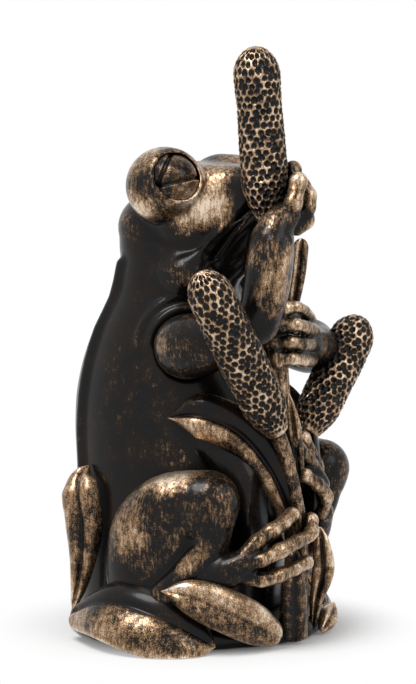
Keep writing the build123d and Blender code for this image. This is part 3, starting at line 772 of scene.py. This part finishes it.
def spike_rings(reed, sizes, rows, columns, seed):
    """A bulrush spike turned about its stem, pitted all over."""
    foot = np.array(reed["foot"], float)
    way = unit(np.array(reed["aim"], float) - foot)
    across = unit(np.cross(way, (0, 1, 0)))
    out = np.cross(way, across)
    radius = sizes.spike_radius
    dome = DOME_SHARE * radius
    neck = reed["length"] - dome
    run = np.linspace(0, 1, rows) * (neck + np.pi / 2 * radius)
    angle = np.clip((run - neck) / radius, 0, np.pi / 2)
    height = np.where(run > neck, neck + dome * np.sin(angle), run)
    taper = np.sin(np.pi / 2 * np.clip(run / TAPER_LENGTH, 0, 1))
    wide = np.where(run > neck, radius * np.cos(angle), TAPER_RADIUS + (radius - TAPER_RADIUS) * taper)
    rng = np.random.default_rng(seed)
    swell = 1 + SPIKE_SWELL * np.sin(run / SWELL_LENGTH + rng.uniform(0, ANY_PHASE))
    wide = np.maximum(wide, TOP_RADIUS) * swell
    along, around = np.meshgrid(run, once_round(columns), indexing="ij")
    depth = pit_field(along, around, radius, reed["length"], sizes.pit_spacing, seed)
    depth *= np.clip((run - PITS_START) / PITS_FADE, 0, 1)[:, None]
    knobs = KNOB_HEIGHT * np.sin(5 * around + 2.1 * along) * np.sin(3 * around - 1.7 * along)
    skin = sizes.pit_depth * (NET_RISE - depth) + knobs
    wide = np.maximum(wide[:, None] + skin * np.cos(angle)[:, None], LEAST_RADIUS)
    height = height[:, None] + skin * np.sin(angle)[:, None]
    turned = across * np.cos(around)[..., None] + out * np.sin(around)[..., None]
    return foot + turned * wide[..., None] + way * height[..., None], depth


# The plinth's edge: inset and height above its bottom, then inset and depth below its top; then its waves
EDGE_LOW = [(1.2, 0), (0.2, 0.8), (0, 2.5)]
EDGE_HIGH = [(0.4, 2.6), (1.6, 0.9), (3.5, 0.1), (8, 0)]
EDGE_WAVES = [(0.35, 7, 1), (0.25, 13, 2.4), (0.2, 23, 0)]
EDGE_TRIM, MIDDLE_RADIUS = 0.4, 2


def plinth_rings(rows, columns):
    """The plinth: a rounded disc with an uneven cast edge."""
    low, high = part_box("plinth")
    radius = (high.x - low.x) / 2 / MM
    centre = np.array([(low.x + high.x) / 2, (low.y + high.y) / 2, 0]) / MM
    bottom = low.z / MM - PLINTH_TOP
    profile = [(radius - inset, 0, bottom + rise) for inset, rise in EDGE_LOW]
    profile += [(radius - inset, 0, -drop) for inset, drop in EDGE_HIGH]
    line = smooth_line([*profile, (MIDDLE_RADIUS, 0, 0)], rows)
    turn = once_round(columns)
    uneven = sum(rise * np.sin(count * turn + phase) for rise, count, phase in EDGE_WAVES)
    wide = line[:, :1] + uneven * np.clip(line[:, :1] / radius, 0, 1) ** 4 - EDGE_TRIM
    ring = np.stack([wide * np.cos(turn), wide * np.sin(turn), np.repeat(line[:, 2:], columns, 1)], -1)
    return ring + centre


def vertices_of(piece):
    points = np.zeros(len(piece.data.vertices) * 3, np.float32)
    piece.data.vertices.foreach_get("co", points)
    return points.reshape(-1, 3) / MM


def normals_of(piece):
    normals = np.zeros(len(piece.data.vertices) * 3, np.float32)
    piece.data.vertex_normals.foreach_get("vector", normals)
    return normals.reshape(-1, 3)


def blurred(block, width):
    """A block of numbers blurred by a bell of that width, in cells."""
    span = int(math.ceil(2.5 * width))
    bell = np.exp(-0.5 * (np.arange(-span, span + 1) / width) ** 2)
    bell /= bell.sum()
    for axis in range(3):
        total = np.zeros_like(block)
        for k, weight in zip(range(-span, span + 1), bell):
            total += weight * np.roll(block, k, axis)
        block = total
    return block


def solid_cells(pieces, cell, low, shape):
    """Which cells of a grid lie inside any of the pieces."""
    solid = np.zeros(shape, np.float32)
    for piece in pieces:
        points = (vertices_of(piece) - low) / cell
        piece.data.calc_loop_triangles()
        corners = np.zeros(len(piece.data.loop_triangles) * 3, np.int32)
        piece.data.loop_triangles.foreach_get("vertices", corners)
        grid = openvdb.FloatGrid.createLevelSetFromPolygons(
            points.astype(np.float32), triangles=corners.reshape(-1, 3).astype(np.uint32), halfWidth=2.0)
        part = np.zeros(shape, np.float32)
        grid.copyToArray(part, ijk=(0, 0, 0))
        solid = np.maximum(solid, np.clip(0.5 - part, 0, 1))
    return solid


def sampled(block, at):
    """Values of a block at fractional cells."""
    at = np.clip(at, 0, np.array(block.shape) - 1.001)
    base = at.astype(int)
    share = at - base
    value = np.zeros(len(at), np.float32)
    for corner in np.ndindex(2, 2, 2):
        weight = np.prod(np.where(corner, share, 1 - share), axis=1)
        value += weight * block[tuple((base + corner).T)]
    return value


def note(piece, label, values):
    """Write a number on each point of a piece."""
    layer = piece.data.attributes.new(label, "FLOAT", "POINT")
    layer.data.foreach_set("value", np.asarray(values, np.float32))


def noted(piece, label):
    """The number on each point of a piece, or none."""
    layer = piece.data.attributes.get(label)
    values = np.zeros(len(piece.data.vertices), np.float32)
    if layer:
        layer.data.foreach_get("value", values)
    return values


# The rag feels how far a point stands out over two widths in mm, on a grid of cells with room round it
RUB_CELL, RUB_ROOM, RUB_FINE, RUB_WIDE = 0.8, 12, 1.2, 4.0
FINE_EDGE, WIDE_EDGE = 1.1, 0.9
FINE_HOLLOW, WIDE_HOLLOW = 1.5, 2.2
# Fine edges are felt this many cells above the skin
RUB_LIFT = 0.1


def rub_gold_and_paint_light(pieces):
    """Write on each point how much gold a rag leaves there, with painted light on what faces up and painted
    highlights and sheen at some spots, and how deep in a hollow it lies.
    """
    points = np.vstack([vertices_of(piece) for piece in pieces])
    low = points.min(0) - RUB_ROOM
    shape = tuple(((points.max(0) + RUB_ROOM - low) / RUB_CELL).astype(int) + 1)
    solid = solid_cells(pieces, RUB_CELL, low, shape)
    fine = blurred(solid, RUB_FINE / RUB_CELL)
    wide = blurred(solid, RUB_WIDE / RUB_CELL)
    for piece in pieces:
        points = vertices_of(piece)
        normals = normals_of(piece)
        at = (points - low) / RUB_CELL
        close = 0.5 - sampled(fine, at + normals * RUB_LIFT)
        far = 0.5 - sampled(wide, at)
        base, edge, up = next(rub for kind, rub in RUB_AND_TOP_LIGHT.items() if kind in piece.name)
        # Gold on what faces up is also painted light falling from above
        rub = base + edge * (FINE_EDGE * close + WIDE_EDGE * far) + up * np.clip(normals[:, 2], 0, 1)
        # Extra gold: less in a spike's pits, and on a leaf the gold per wing with its painted light and shade
        rub += noted(piece, "extra")
        place = points - (0, 0, PLINTH_TOP)
        place[:, 0] = -np.abs(place[:, 0])
        # Spots of more or less gold, some of which paint highlights and sheen
        for *spot, size, gold in RUB_AND_HIGHLIGHT_SPOTS:
            near = np.linalg.norm(place - spot, axis=1) / size
            rub += gold * np.clip(1 - near**2, 0, 1)
        note(piece, "rub", np.clip(rub, 0, 1))
        note(piece, "hollow", np.clip(-WIDE_HOLLOW * far - FINE_HOLLOW * close, 0, 1))


# Where most values of a noise lie
NOISE_SPAN = (0.3, 0.7)


class Nodes:
    """Short ways to place and join the nodes of one material, or of the world."""

    def __init__(self, owner):
        owner.use_nodes = True
        self.tree = owner.node_tree
        self.shader = self.tree.nodes.get("Principled BSDF")

    def add(self, kind, inputs=(), **settings):
        node = self.tree.nodes.new(kind)
        for key, value in settings.items():
            setattr(node, key, value)
        for key, value in dict(inputs).items():
            self.feed(node.inputs[key], value)
        return node

    def feed(self, socket, value):
        if isinstance(value, bpy.types.NodeSocket):
            self.tree.links.new(value, socket)
        else:
            socket.default_value = value

    def math(self, operation, a, b):
        return self.add("ShaderNodeMath", {0: a, 1: b}, operation=operation).outputs[0]

    def ramp(self, value, low, high, to_low=0.0, to_high=1.0):
        node = self.add("ShaderNodeMapRange", {"Value": value, "From Min": low, "From Max": high,
                                               "To Min": to_low, "To Max": to_high},
                        interpolation_type="SMOOTHSTEP")
        return node.outputs["Result"]

    def noise(self, place, scale, detail=2.0, rough=0.55):
        inputs = {"Vector": place, "Scale": scale, "Detail": detail, "Roughness": rough}
        return self.add("ShaderNodeTexNoise", inputs).outputs["Fac"]

    def swing(self, noise, amount):
        """A noise made to run from minus an amount to plus that amount."""
        return self.ramp(noise, *NOISE_SPAN, -amount, amount)

    def mix(self, share, a, b):
        inputs = {"Factor": share, "A": a, "B": b}
        return self.add("ShaderNodeMix", inputs, data_type="RGBA").outputs["Result"]

    def shade(self, inputs):
        """Set or link sockets of the shader."""
        for key, value in inputs.items():
            self.feed(self.shader.inputs[key], value)

    def dent(self, height, strength, distance):
        bump = self.add("ShaderNodeBump", {"Strength": strength, "Distance": distance, "Height": height})
        self.shade({"Normal": bump.outputs["Normal"]})


# Grain of the gold: how coarse it is, per mm, and how much gold it adds or takes away
PATCH_SCALE, PATCH_GOLD = 0.14, 0.12
BLOTCH_SCALE, BLOTCH_GOLD = 0.6, 0.1
STROKE_SCALE, STROKE_STRETCH = 0.9, (1.5, 1.5, 0.3)
FINE_ROUGH, FINE_GOLD, FINE_GLOSS = 0.7, 0.17, 0.05
FLECK_SCALE, FLECK_SIZE, FLECK_GOLD = 1.1, (0.05, 0.12), 0.6
FLECK_PATCHES, FLECK_CHANCE = 0.6, (0.92, 0.97)
# The cover at which gold shows, and at which it turns pale; the hollows that keep it off
GOLD_SHOWS, GOLD_PALES, GOLD_HOLLOW, GOLD_METAL = (0.3, 0.68), (0.6, 1.05), (0.12, 0.5), 0.9
# Brown patches in the coat, and the depth of hollow over which a darker coat paints shade
BROWN_PATCH, SHADE_IN_HOLLOW = (0.35, 0.7), (0.1, 0.7)
DULL_HOLLOW, DULL_ROUGHNESS = (0.1, 0.8), 0.3
BUMP_FINE, BUMP_GOLD = 0.7, 0.3
COAT_SPECULAR = 0.08
LACQUER_WEIGHT, LACQUER_ROUGHNESS = 0.2, 0.16


def colour(values):
    return (*values, 1.0)


def bronze(name, finish, streak, grain):
    """Antique bronze: a dark satin coat with gold dusted over what stands out; the gold also carries painted
    light, and the coat darkens in the hollows as painted shade.
    """
    material = bpy.data.materials.new(name)
    nodes = Nodes(material)
    place = nodes.add("ShaderNodeTexCoord").outputs["Object"]
    place = nodes.add("ShaderNodeMapping", {"Vector": place, "Scale": (1 / MM,) * 3}).outputs["Vector"]
    brushed = nodes.add("ShaderNodeMapping", {"Vector": place, "Scale": STROKE_STRETCH}).outputs["Vector"]
    # The gold attribute holds rubbed gold with painted light on what faces up and painted highlights and
    # sheen at some spots
    cover = nodes.add("ShaderNodeAttribute", attribute_name="rub").outputs["Fac"]
    hollow = nodes.add("ShaderNodeAttribute", attribute_name="hollow").outputs["Fac"]
    patch = nodes.noise(place, PATCH_SCALE)
    blotch = nodes.noise(place, BLOTCH_SCALE)
    fine = nodes.noise(place, grain, rough=FINE_ROUGH)
    strokes = nodes.noise(brushed, STROKE_SCALE)
    for noise, gold in ((patch, PATCH_GOLD), (blotch, BLOTCH_GOLD), (strokes, streak), (fine, FINE_GOLD)):
        cover = nodes.math("ADD", cover, nodes.swing(noise, gold))
    flecks = nodes.add("ShaderNodeTexVoronoi", {"Vector": place, "Scale": FLECK_SCALE}).outputs
    fleck = nodes.ramp(flecks["Distance"], *FLECK_SIZE, 1.0, 0.0)
    chance = nodes.add("ShaderNodeSeparateColor", {"Color": flecks["Color"]}).outputs["Red"]
    chance = nodes.math("ADD", chance, nodes.math("MULTIPLY", patch, FLECK_PATCHES))
    fleck = nodes.math("MULTIPLY", fleck, nodes.ramp(chance, *FLECK_CHANCE))
    cover = nodes.math("MAXIMUM", cover, nodes.math("MULTIPLY", fleck, FLECK_GOLD))
    cover = nodes.math("MULTIPLY", cover, nodes.ramp(hollow, *GOLD_HOLLOW, 1.0, 0.0))
    coat = nodes.mix(nodes.ramp(patch, *BROWN_PATCH), colour(finish.coat), colour(finish.coat_brown))
    # Painted shade: the coat turns darker deep in the hollows
    coat = nodes.mix(nodes.ramp(hollow, *SHADE_IN_HOLLOW), coat, colour(finish.hollow))
    gold = nodes.ramp(cover, *GOLD_SHOWS)
    tone = nodes.mix(nodes.ramp(cover, *GOLD_PALES), colour(finish.gold_deep), colour(finish.gold_pale))
    rough = nodes.ramp(gold, 0, 1, finish.coat_roughness, finish.gold_roughness)
    rough = nodes.math("ADD", rough, nodes.swing(fine, FINE_GLOSS))
    rough = nodes.math("ADD", rough, nodes.ramp(hollow, *DULL_HOLLOW, 0.0, DULL_ROUGHNESS))
    nodes.shade({"Base Color": nodes.mix(gold, coat, tone),
                 "Metallic": nodes.math("MULTIPLY", gold, GOLD_METAL), "Roughness": rough,
                 "Specular IOR Level": COAT_SPECULAR, "Coat Weight": LACQUER_WEIGHT,
                 "Coat Roughness": LACQUER_ROUGHNESS})
    height = nodes.math("MULTIPLY", fine, BUMP_FINE)
    height = nodes.math("ADD", height, nodes.math("MULTIPLY", gold, BUMP_GOLD))
    nodes.dent(height, strength=0.3, distance=0.0001)
    return material


def felt_cloth(finish):
    """Pressed felt: short tangled fibres, no gloss."""
    material = bpy.data.materials.new("felt")
    nodes = Nodes(material)
    place = nodes.add("ShaderNodeTexCoord").outputs["Object"]
    fibres = nodes.noise(place, scale=2500.0, detail=4.0, rough=0.7)
    fibre = nodes.mix(nodes.ramp(fibres, *NOISE_SPAN), colour(finish.felt_dark), colour(finish.felt))
    nodes.shade({"Base Color": fibre, "Roughness": 0.95, "Sheen Weight": 0.3})
    nodes.dent(fibres, strength=0.5, distance=0.0003)
    return material


DARK_STEEL, BRIGHT_STEEL = (0.33, 0.34, 0.35, 1), (0.5, 0.5, 0.51, 1)


def drawn_wire():
    """Bright drawn steel wire with fine lines along it."""
    material = bpy.data.materials.new("steel_wire")
    nodes = Nodes(material)
    place = nodes.add("ShaderNodeTexCoord").outputs["Object"]
    lines = nodes.add("ShaderNodeMapping", {"Vector": place, "Scale": (6000, 6000, 60)}).outputs["Vector"]
    drawn = nodes.noise(lines, scale=1.0)
    nodes.shade({"Base Color": nodes.mix(drawn, DARK_STEEL, BRIGHT_STEEL), "Metallic": 1.0,
                 "Roughness": nodes.ramp(drawn, *NOISE_SPAN, 0.25, 0.4)})
    return material


def paint(piece, material):
    piece.data.materials.clear()
    piece.data.materials.append(material)


def made_pieces():
    """The pieces modelled so far."""
    return [o for o in bpy.context.scene.objects if "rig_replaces" in o]


class FrogSizes(bpy.types.PropertyGroup):
    sculpt_step: FloatProperty(name="Sculpt step", default=0.6, min=0.3, max=2.0,
                               description="Distance between the points that carry the skin, mm")
    leaf_thickness: FloatProperty(name="Leaf", description="Thickness of the leaves, mm", default=2.6)
    blade_thickness: FloatProperty(name="Blade", description="Thickness of the reed blades, mm", default=1.8)
    stem_radius: FloatProperty(name="Stem", description="Radius of the reed stems, mm", default=2.6)
    spike_radius: FloatProperty(name="Spike", description="Radius of the bulrush spikes, mm", default=7.15)
    pit_spacing: FloatProperty(name="Pit spacing", default=2.35,
                               description="Distance between pits on a spike, mm")
    pit_depth: FloatProperty(name="Pit depth", description="Depth of the pits on a spike, mm", default=0.95)
    seed: IntProperty(name="Seed", description="Start of the random draws", default=7)


class FrogFinish(bpy.types.PropertyGroup):
    coat: FloatVectorProperty(name="Coat", subtype="COLOR", default=(0.0055, 0.005, 0.005),
                              description="Dark satin base coat")
    coat_brown: FloatVectorProperty(name="Brown coat", subtype="COLOR", default=(0.011, 0.0068, 0.0045),
                                    description="Where the base coat is browner")
    # Painted shade: the darker coat laid in the hollows
    hollow: FloatVectorProperty(name="Hollows", subtype="COLOR", default=(0.0025, 0.0023, 0.0022),
                                description="Coat in the hollows")
    gold_deep: FloatVectorProperty(name="Deep gold", subtype="COLOR", default=(0.31, 0.185, 0.095),
                                   description="Rubbed gold where it is thin")
    gold_pale: FloatVectorProperty(name="Pale gold", subtype="COLOR", default=(0.84, 0.68, 0.52),
                                   description="Rubbed gold where it is thick")
    felt: FloatVectorProperty(name="Felt", subtype="COLOR", default=(0.03, 0.028, 0.027),
                              description="Felt under the base")
    felt_dark: FloatVectorProperty(name="Dark felt", subtype="COLOR", default=(0.015, 0.014, 0.014),
                                   description="Shaded felt fibres")
    coat_roughness: FloatProperty(name="Coat roughness", subtype="FACTOR", default=0.28,
                                  description="Gloss of the base coat")
    gold_roughness: FloatProperty(name="Gold roughness", subtype="FACTOR", default=0.3,
                                  description="Gloss of the gold")


class FrogStage(bpy.types.PropertyGroup):
    floor: FloatVectorProperty(name="Floor", subtype="COLOR", default=(0.93, 0.93, 0.93),
                               description="Colour of the floor")
    key: FloatProperty(name="Key light", unit="POWER", default=5.5,
                       description="Power of the soft light overhead")
    fill: FloatProperty(name="Fill light", unit="POWER", default=1.6,
                        description="Power of the soft light beside the camera")
    ambient: FloatProperty(name="Ambient", description="Strength of the light from all round", default=0.25)


# Rows and columns of points on the ringed pieces; a spike's rows by their distance in mm
LEAF_GRID, PLINTH_GRID = (90, 48), (40, 180)
STEM_ROWS, STEM_COLUMNS = 80, 28
SPIKE_ROW, SPIKE_COLUMNS = 0.33, 168
# Gold on the net of a spike, how much less of it lies in the pits, and none more at the two poles
NET_GOLD, PIT_GOLD, POLES = 0.5, 1.6, (0, 0)
EYE_ROOM = 11


class FROG_OT_body(bpy.types.Operator):
    """Sculpt the frog's torso, head, limbs, hands and feet as one skin, and part it into pieces"""

    bl_idname = "frog.body"
    bl_label = "Frog body"

    def execute(self, context):
        finish = context.scene.frog_finish
        material = bronze("frog_bronze", finish, streak=0.13, grain=3.2)
        for name, (points, quads) in frog_pieces(context.scene.frog_sizes.sculpt_step).items():
            paint(new_piece(f"frog_{name}", points, quads, "frog_resin", name), material)
        return {"FINISHED"}


class FROG_OT_eyes(bpy.types.Operator):
    """Sculpt the two eyes with their lids"""

    bl_idname = "frog.eyes"
    bl_label = "Eyes"

    def execute(self, context):
        material = bronze("eye_bronze", context.scene.frog_finish, streak=0.05, grain=3.2)
        for name, side in SIDES.items():
            centre = eye_centre(side)
            block = Block(centre - EYE_ROOM, centre + EYE_ROOM, context.scene.frog_sizes.sculpt_step / 2)
            points, quads = block.mesh(block.fill(eye_form(block.axes(), side)))
            paint(new_piece(f"frog_{name}_eye", points, quads, "frog_resin", f"{name}_eye"), material)
        return {"FINISHED"}


class FROG_OT_reeds(bpy.types.Operator):
    """Draw the three stems and turn the pitted spikes on them"""

    bl_idname = "frog.reeds"
    bl_label = "Reeds"

    def execute(self, context):
        sizes = context.scene.frog_sizes
        stem_bronze = bronze("stem_bronze", context.scene.frog_finish, streak=0.14, grain=2.6)
        spike_bronze = bronze("spike_bronze", context.scene.frog_finish, streak=0.03, grain=3.0)
        coarse = 1
        for number, (name, reed) in enumerate(REEDS.items()):
            line = smooth_line(reed["stem"], STEM_ROWS)
            rings = stem_rings(line, sizes.stem_radius, STEM_COLUMNS, sizes.seed + number)
            paint(ringed_piece(f"{name}_reed_stem", rings, "reed_resin", f"{name}_stem"), stem_bronze)
            rows = int(reed["length"] / SPIKE_ROW / coarse)
            rings, depth = spike_rings(reed, sizes, rows, SPIKE_COLUMNS // coarse, sizes.seed + 10 + number)
            piece = ringed_piece(f"{name}_reed_spike", rings, "reed_resin", f"{name}_spike")
            note(piece, "extra", np.append(NET_GOLD - PIT_GOLD * depth.ravel(), POLES))
            paint(piece, spike_bronze)
        return {"FINISHED"}


class FROG_OT_leaves(bpy.types.Operator):
    """Lay the leaves round the base and stand the blades in the clump"""

    bl_idname = "frog.leaves"
    bl_label = "Leaves"

    def execute(self, context):
        sizes = context.scene.frog_sizes
        leaf_bronze = bronze("leaf_bronze", context.scene.frog_finish, streak=0.08, grain=2.8)
        jobs = [(f"{name}_{kind}", leaf, side, sizes.leaf_thickness, "leaf_resin")
                for name, side in SIDES.items() for kind, leaf in SIDE_LEAVES.items()]
        jobs += [(kind, leaf, RIGHT, sizes.leaf_thickness, "leaf_resin")
                 for kind, leaf in FRONT_LEAVES.items()]
        jobs += [(kind, leaf, RIGHT, sizes.blade_thickness, "reed_resin")
                 for kind, leaf in REED_BLADES.items()]
        for name, leaf, side, thickness, slot in jobs:
            rings, gold = leaf_rings(leaf, side, thickness, *LEAF_GRID)
            piece = ringed_piece(f"cast_{name}", rings, slot, name)
            # The gold per wing, with its painted light and shade, goes on as extra gold
            note(piece, "extra", np.append(gold.ravel(), POLES))
            paint(piece, leaf_bronze)
        return {"FINISHED"}


class FROG_OT_base(bpy.types.Operator):
    """Cast the plinth, and give the felt and the wires their materials"""

    bl_idname = "frog.base"
    bl_label = "Base"

    def execute(self, context):
        finish = context.scene.frog_finish
        plinth = ringed_piece("cast_plinth", plinth_rings(*PLINTH_GRID), "frog_resin", "plinth")
        paint(plinth, bronze("plinth_bronze", finish, streak=0.05, grain=2.8))
        paint(frame["nodes"]["felt_pad"], felt_cloth(finish))
        paint(frame["nodes"]["stem_wires"], drawn_wire())
        return {"FINISHED"}


class FROG_OT_gold(bpy.types.Operator):
    """Rub gold over everything that stands out, and paint light on what faces up and highlights and sheen at
    some spots
    """

    bl_idname = "frog.gold"
    bl_label = "Rub with gold"

    def execute(self, context):
        rub_gold_and_paint_light(made_pieces())
        return {"FINISHED"}


CAMERA_AZIMUTH, CAMERA_ELEVATION, CAMERA_DISTANCE = -58, 5.4, 0.9
CAMERA_TARGET = Vector((0.0014, -0.0022, 0.0944))
FOCAL_PIXELS, IMAGE_HEIGHT = 2750, 684
FLOOR_REACH = 3.0
# How far from the middle the floor's shadow gives way to white
FLOOR_WHITE = (0.03, 0.075)
WHITE = (1, 1, 1, 1)


def towards(azimuth, elevation):
    """The direction from the object to a place at an azimuth and elevation in degrees; 0 is in front."""
    azimuth, elevation = math.radians(azimuth), math.radians(elevation)
    return Vector((math.sin(azimuth) * math.cos(elevation), -math.cos(azimuth) * math.cos(elevation),
                   math.sin(elevation)))


def stand_off(thing, way, distance):
    """Put a lamp or the camera at a distance, facing the ornament."""
    bpy.context.scene.collection.objects.link(thing)
    thing.location = CAMERA_TARGET + way * distance
    thing.rotation_mode = "QUATERNION"
    thing.rotation_quaternion = (-way).to_track_quat("-Z", "Y")


def soft_light(name, azimuth, elevation, distance, size, power):
    lamp = bpy.data.lights.new(name, "AREA")
    lamp.shape = "DISK"
    lamp.size = size
    lamp.energy = power
    stand_off(bpy.data.objects.new(name, lamp), towards(azimuth, elevation), distance)


def shows_backdrop(nodes):
    """1 for rays that show the backdrop: straight to the camera, in gloss or through glass."""
    path = nodes.add("ShaderNodeLightPath").outputs
    seen = nodes.math("MAXIMUM", path["Is Camera Ray"], path["Is Glossy Ray"])
    return nodes.math("MAXIMUM", seen, path["Is Transmission Ray"])


class FROG_OT_stage(bpy.types.Operator):
    """Set the pale floor, the soft studio light and the camera"""

    bl_idname = "frog.stage"
    bl_label = "Stage"

    def execute(self, context):
        stage = context.scene.frog_stage
        self.lay_floor(stage)
        self.light_world(stage)
        soft_light("key_light", azimuth=-100, elevation=58, distance=0.8, size=0.42, power=stage.key)
        soft_light("fill_light", azimuth=-5, elevation=35, distance=1.0, size=0.5, power=stage.fill)
        camera = bpy.data.objects.new("camera", bpy.data.cameras.new("camera"))
        stand_off(camera, towards(CAMERA_AZIMUTH, CAMERA_ELEVATION), CAMERA_DISTANCE)
        camera.data.sensor_width = 36
        camera.data.lens = FOCAL_PIXELS / IMAGE_HEIGHT * camera.data.sensor_width
        context.scene.camera = camera
        context.scene.view_settings.view_transform = "Standard"
        return {"FINISHED"}

    def lay_floor(self, stage):
        mesh = bpy.data.meshes.new("floor")
        corners = [(FLOOR_REACH * x, FLOOR_REACH * y, 0) for x, y in ((-1, -1), (1, -1), (1, 1), (-1, 1))]
        mesh.from_pydata(corners, [], [(0, 1, 2, 3)])
        floor = bpy.data.objects.new("floor", mesh)
        bpy.context.scene.collection.objects.link(floor)
        material = bpy.data.materials.new("floor_paper")
        nodes = Nodes(material)
        place = nodes.add("ShaderNodeTexCoord").outputs["Object"]
        grain = nodes.noise(place, scale=300.0)
        paper = nodes.mix(grain, colour(stage.floor), colour(np.array(stage.floor) * 1.02))
        nodes.shade({"Base Color": paper, "Roughness": 0.9, "Specular IOR Level": 0.0})
        away = nodes.add("ShaderNodeVectorMath", {0: place}, operation="LENGTH").outputs["Value"]
        white = nodes.add("ShaderNodeEmission", {"Color": WHITE, "Strength": 1.0}).outputs["Emission"]
        share = nodes.math("MULTIPLY", nodes.ramp(away, *FLOOR_WHITE), shows_backdrop(nodes))
        join = nodes.add("ShaderNodeMixShader", {0: share, 1: nodes.shader.outputs["BSDF"], 2: white})
        nodes.feed(nodes.tree.nodes["Material Output"].inputs["Surface"], join.outputs[0])
        mesh.materials.append(material)

    def light_world(self, stage):
        world = bpy.data.worlds.new("studio")
        bpy.context.scene.world = world
        nodes = Nodes(world)
        plain = nodes.tree.nodes["Background"]
        plain.inputs["Color"].default_value = WHITE
        plain.inputs["Strength"].default_value = stage.ambient
        white = nodes.add("ShaderNodeBackground", {"Color": WHITE, "Strength": 1.0}).outputs[0]
        join = nodes.add("ShaderNodeMixShader", {0: shows_backdrop(nodes), 1: plain.outputs[0], 2: white})
        nodes.feed(nodes.tree.nodes["World Output"].inputs["Surface"], join.outputs[0])


class FROG_PT_panel(bpy.types.Panel):
    """The steps that make the ornament, and the values they use"""

    bl_idname = "FROG_PT_panel"
    bl_label = "Frog"
    bl_space_type = "VIEW_3D"
    bl_region_type = "UI"
    bl_category = "Frog"

    def draw(self, context):
        for step in STEPS:
            self.layout.operator(step.bl_idname)
        for group in (context.scene.frog_sizes, context.scene.frog_finish, context.scene.frog_stage):
            box = self.layout.box()
            for key in group.bl_rna.properties.keys():
                if key not in ("rna_type", "name"):
                    box.prop(group, key)


STEPS = (FROG_OT_body, FROG_OT_eyes, FROG_OT_reeds, FROG_OT_leaves, FROG_OT_base, FROG_OT_gold, FROG_OT_stage)
GROUPS = {"frog_sizes": FrogSizes, "frog_finish": FrogFinish, "frog_stage": FrogStage}


def register():
    for kind in (*GROUPS.values(), *STEPS, FROG_PT_panel):
        bpy.utils.register_class(kind)
    for key, group in GROUPS.items():
        setattr(bpy.types.Scene, key, PointerProperty(type=group))


def unregister():
    for key in GROUPS:
        delattr(bpy.types.Scene, key)
    for kind in reversed((*GROUPS.values(), *STEPS, FROG_PT_panel)):
        bpy.utils.unregister_class(kind)


def main():
    register()
    bpy.ops.frog.body()
    bpy.ops.frog.eyes()
    bpy.ops.frog.reeds()
    bpy.ops.frog.leaves()
    bpy.ops.frog.base()
    bpy.ops.frog.gold()
    bpy.ops.frog.stage()


if __name__ == "__main__":
    main()
